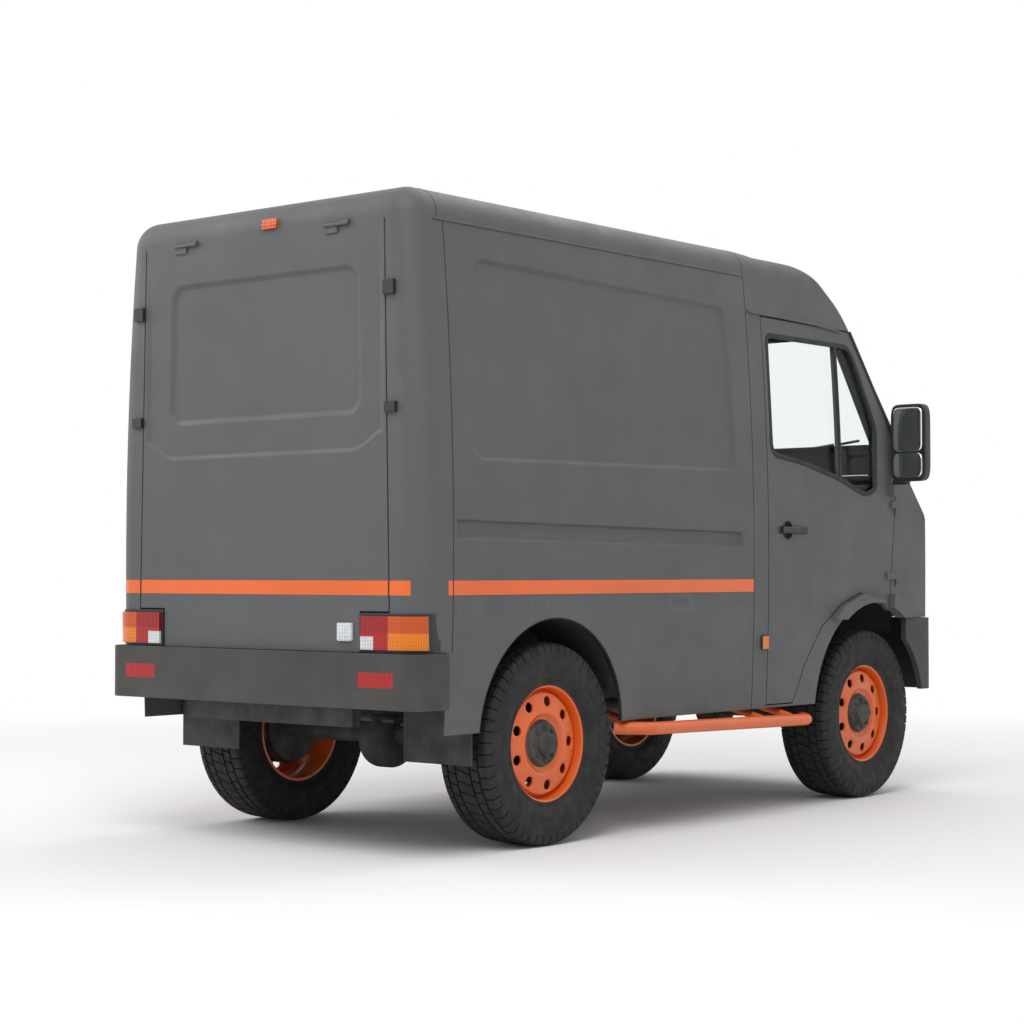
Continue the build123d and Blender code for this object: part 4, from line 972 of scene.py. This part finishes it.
doorTrim = {"recessY": -0.520, "recessZ": 1.137, "recessRadius": 0.038, "recessDepth": 0.0125,
            "pillar": ((-1.062, 1.990), (-1.388, 1.548), (-1.392, 1.400)), "pillarHalf": 0.009}


def makeDoorTrim():
    # the handle's dish is as deep as one less the fourth power of the distance from its middle
    d = doorTrim
    share = np.array([0, 0.2, 0.4, 0.6, 0.8, 0.93, 1.0])[:, None]
    angle = np.linspace(0, 2 * math.pi, 40, endpoint=False)[None]
    radius = (d["recessRadius"] - 0.0008) * share
    y = d["recessY"] + radius * np.cos(angle)
    z = d["recessZ"] + radius * np.sin(angle)
    depth = d["recessDepth"] * (1 - share**4) + 0 * angle
    dish = np.stack([-sideX(z) + depth, y, z], -1)
    recess = sheetOf(dish, closeColumns=True)
    rim = swept(dish[-1] - (0.0006, 0, 0), (-1, 0, 0), ovalProfile(0.0022, 0.0012, 8))
    pillar = roundedPath(d["pillar"], (0, 0.05, 0), False)
    pillar = np.stack([-sideX(pillar[:, 1]) - 0.001, pillar[:, 0] - 0.006, pillar[:, 1]], -1)
    rubber = swept(pillar, (-1, 0, 0), ovalProfile(d["pillarHalf"], 0.005, 10, 0.7), False)
    for sideName, side in rightAndLeft:
        addPiece("handleRecess_" + sideName, onSide(joined(recess, rim), side), "door_" + sideName,
                 "black_plastic")
        addPiece("pillarRubber_" + sideName, onSide(rubber, side), "truck", "flap_rubber", material=sealRubber)
    print("door trim")


makeDoorTrim()


mirror = {
    "glassInset": 0.016, "split": 0.36, "splitHalf": 0.003, "headLow": 1.360, "flatRear": 0.006,
    "glassBack": 0.007,
    "glassFront": 0.0012, "corner": 0.030, "armInner": 0.778, "armOuter": 0.850, "armY": (-1.380, -1.342),
    "armZ": (1.3465, 1.369),
}


def superBox(low, high, power, rows, columns):
    # a closed rounded box: a sphere whose three axes are squared off by a power
    u = np.linspace(-math.pi / 2, math.pi / 2, rows)[:, None]
    v = np.linspace(0, 2 * math.pi, columns, endpoint=False)[None]

    def squared(value, power):
        return np.sign(value) * np.abs(value) ** power
    x = squared(np.cos(u), power) * squared(np.cos(v), power)
    y = squared(np.cos(u), power) * squared(np.sin(v), power)
    z = squared(np.sin(u), power) * np.ones_like(v)
    middle = (np.asarray(low) + high) / 2
    half = (np.asarray(high) - low) / 2
    return middle + np.stack([x, y, z], -1) * half


def makeMirrors():
    # a rounded head cut flat at the rear for two panes, on a rounded arm
    m = mirror
    for sideName, side in rightAndLeft:
        low, high = (np.array(corner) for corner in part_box("door_mirror_" + sideName))
        headLow = np.array([low[0], low[1], m["headLow"]])
        shell = superBox(headLow, high, 0.28, 40, 72)
        shell[..., 1] = np.minimum(shell[..., 1], high[1] - m["flatRear"])
        inner, outer = sorted((side * m["armInner"], side * m["armOuter"]))
        (armFront, armRear), (armLow, armHigh) = m["armY"], m["armZ"]
        armGrid = superBox((inner, armFront, armLow), (outer, armRear, armHigh), 0.3, 14, 28)
        housing = joined(sheetOf(shell, closeColumns=True), sheetOf(armGrid, closeColumns=True))
        riding = "mirror_" + sideName
        addPiece("mirrorHousing_" + sideName, housing, riding, "black_plastic",
                 ["door_mirror_" + sideName])
        middle = (low[0] + high[0]) / 2
        half = (high[0] - low[0]) / 2 - m["glassInset"]
        zLow, zHigh = m["headLow"] + m["glassInset"], high[2] - m["glassInset"]
        split = zLow + (zHigh - zLow) * m["split"]
        back, front = high[1] - m["glassBack"], high[1] - m["glassFront"]
        panes = [frontedBox(middle, half, paneLow, paneHigh, back, front, m["corner"])
                 for paneLow, paneHigh in ((split + m["splitHalf"], zHigh), (zLow, split - m["splitHalf"]))]
        addPiece("mirrorGlass_" + sideName, joined(*panes), riding, "clear_lens", material=mirrorFace)
    print("mirrors")


makeMirrors()


seat = {
    "channels": 3, "channelReach": 0.6, "channelDepth": 0.007, "channelWidth": 0.007, "power": 0.30,
    "fill": 0.7,
    "middle": 0.345, "postHalfGap": 0.05, "postRadius": 0.006, "postForward": 0.05, "postZ": (1.765, 1.812),
    # each pad: half width, its front and rear edges from the nearest end of the seat, low, high
    "cushion": (0.214, 0.002, 0.104, 1.111, 1.224), "back": (0.210, 0.098, 0.002, 1.162, 1.779),
    "restraint": (0.119, 0.088, 0.012, 1.801, 1.939),
}


def padGrid(low, high, rows, columns, along, across, crown):
    # a crowned pad: the rounded box, pulled in at the seams and sewn in channels across one axis
    grid = superBox(low, high, seat["power"], rows, columns)
    middle = (np.asarray(low) + high) / 2
    half = (np.asarray(high) - low) / 2
    place = (grid - middle) / half
    bulge = 1 - crown * place[..., across] ** 2
    up = 3 - along - across
    grid[..., up] = middle[up] + (grid[..., up] - middle[up]) * bulge
    lines = np.linspace(-seat["channelReach"], seat["channelReach"], seat["channels"])
    gap = np.abs(place[..., along, None] - lines).min(-1) * half[along]
    groove = seat["channelDepth"] * np.exp(-(gap / seat["channelWidth"]) ** 2)
    grid[..., up] -= np.sign(place[..., up]) * groove * easeStep(np.abs(place[..., up]) * 2 - 0.6)
    return grid


def makeSeats():
    y0, y1 = (corner.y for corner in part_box("seats"))
    replaced = ["seats"]
    for sideName, side in rightAndLeft:
        middle = side * seat["middle"]
        half, first, last, low, high = seat["cushion"]
        base = padGrid((middle - half, y0 + first, low), (middle + half, y1 - last, high),
                       60, 120, 0, 1, 0.10)
        half, first, last, low, high = seat["back"]
        back = padGrid((middle - half, y1 - first, low), (middle + half, y1 - last, high),
                       90, 120, 0, 2, 0.22)
        half, first, last, low, high = seat["restraint"]
        rest = padGrid((middle - half, y1 - first, low), (middle + half, y1 - last, high),
                       40, 60, 0, 2, 0.15)
        for padName, grid in (("seatCushion_", base), ("seatBack_", back), ("headRestraint_", rest)):
            pad = addPiece(padName + sideName, sheetOf(grid, closeColumns=True), "truck", "seat_fabric",
                           replaced)
            replaced = []  # only the first pad stands in for the seats of the frame
        y = y1 - seat["postForward"]
        post = ovalProfile(seat["postRadius"], seat["postRadius"], 12)
        posts = [swept([(middle + x, y, z) for z in seat["postZ"]], (0, 1, 0), post, False)
                 for x in (-seat["postHalfGap"], seat["postHalfGap"])]
        addPiece("restraintPosts_" + sideName, joined(*posts), "truck", "aluminium", material=satinSteel)
    print("seats")


makeSeats()


studio = {
    "floorHalf": 40.0, "floorColour": (0.96, 0.96, 0.96), "worldLight": 0.50, "fadeStart": 3.0,
    "fadeEnd": 7.0,
    # each lamp: place, size, power
    "lamps": (((-3.0, 5.5, 7.0), 4.0, 300.0), ((6.0, 4.0, 5.0), 5.0, 150.0), ((0.0, -3.0, 8.0), 6.0, 190.0)),
    "cameraPlace": (-5.5276, 6.9451, 0.9650), "azimuth": 219.78, "elevation": -1.6, "lens": 76.12,
}


def seenShader(tree, plain, shown, output, amount=1.0):
    # the shown shader where the camera, a reflection or a pane looks at it, the plain one for all other light
    path = tree.nodes.new("ShaderNodeLightPath").outputs
    seen = maths(tree, "MAXIMUM", path["Is Camera Ray"], path["Is Transmission Ray"])
    seen = maths(tree, "MULTIPLY", maths(tree, "MAXIMUM", seen, path["Is Glossy Ray"]), amount)
    mix = tree.nodes.new("ShaderNodeMixShader")
    for number, source in enumerate((seen, plain, shown)):
        tree.links.new(source, mix.inputs[number])
    tree.links.new(mix.outputs[0], output)


def makeStudio():
    s = studio
    h = s["floorHalf"]
    floorMesh = bpy.data.meshes.new("studioFloor")
    floorMesh.from_pydata([(-h, -h, 0), (h, -h, 0), (h, h, 0), (-h, h, 0)], [], [(0, 1, 2, 3)])
    floor = bpy.data.objects.new("studioFloor", floorMesh)
    bpy.context.scene.collection.objects.link(floor)
    floorPaint, tree, shader = nodeMaterial("studioFloorPaint", s["floorColour"], 0.85)
    floorMesh.materials.append(floorPaint)
    # the floor turns into the white background some metres out
    reach = linked(tree, "ShaderNodeVectorMath", {"operation": "LENGTH"}, _0=objectPlace(tree))
    fade = remapped(tree, reach.outputs["Value"], s["fadeStart"], s["fadeEnd"], kind="SMOOTHSTEP")
    white = tree.nodes.new("ShaderNodeEmission").outputs[0]
    seenShader(tree, shader.outputs[0], white, tree.nodes["Material Output"].inputs["Surface"], fade)
    world = bpy.data.worlds.new("studioWorld")
    bpy.context.scene.world = world
    world.use_nodes = True
    tree = world.node_tree
    plain = tree.nodes["Background"]
    plain.inputs["Color"].default_value = (1, 1, 1, 1)
    plain.inputs["Strength"].default_value = s["worldLight"]
    white = tree.nodes.new("ShaderNodeBackground")
    white.inputs["Color"].default_value = (1, 1, 1, 1)
    white.inputs["Strength"].default_value = 1.0
    seenShader(tree, plain.outputs[0], white.outputs[0], tree.nodes["World Output"].inputs["Surface"])
    for number, (place, size, power) in enumerate(s["lamps"]):
        data = bpy.data.lights.new(f"softLamp{number}", "AREA")
        data.size = size
        data.energy = power
        lamp = bpy.data.objects.new(f"softLamp{number}", data)
        lamp.location = place
        lamp.rotation_euler = (Vector(place) - Vector((0, 0, 1))).to_track_quat("Z", "Y").to_euler()
        bpy.context.scene.collection.objects.link(lamp)
    data = bpy.data.cameras.new("studioCamera")
    data.lens = s["lens"]
    data.sensor_width = 36
    data.clip_end = 200
    camera = bpy.data.objects.new("studioCamera", data)
    camera.location = s["cameraPlace"]
    a, e = math.radians(s["azimuth"]), math.radians(s["elevation"])
    back = Vector((math.sin(a) * math.cos(e), -math.cos(a) * math.cos(e), math.sin(e)))
    camera.rotation_euler = back.to_track_quat("Z", "Y").to_euler()
    bpy.context.scene.collection.objects.link(camera)
    bpy.context.scene.camera = camera
    bpy.context.scene.view_settings.view_transform = "Standard"
    print("floor, lamps and camera")


makeStudio()
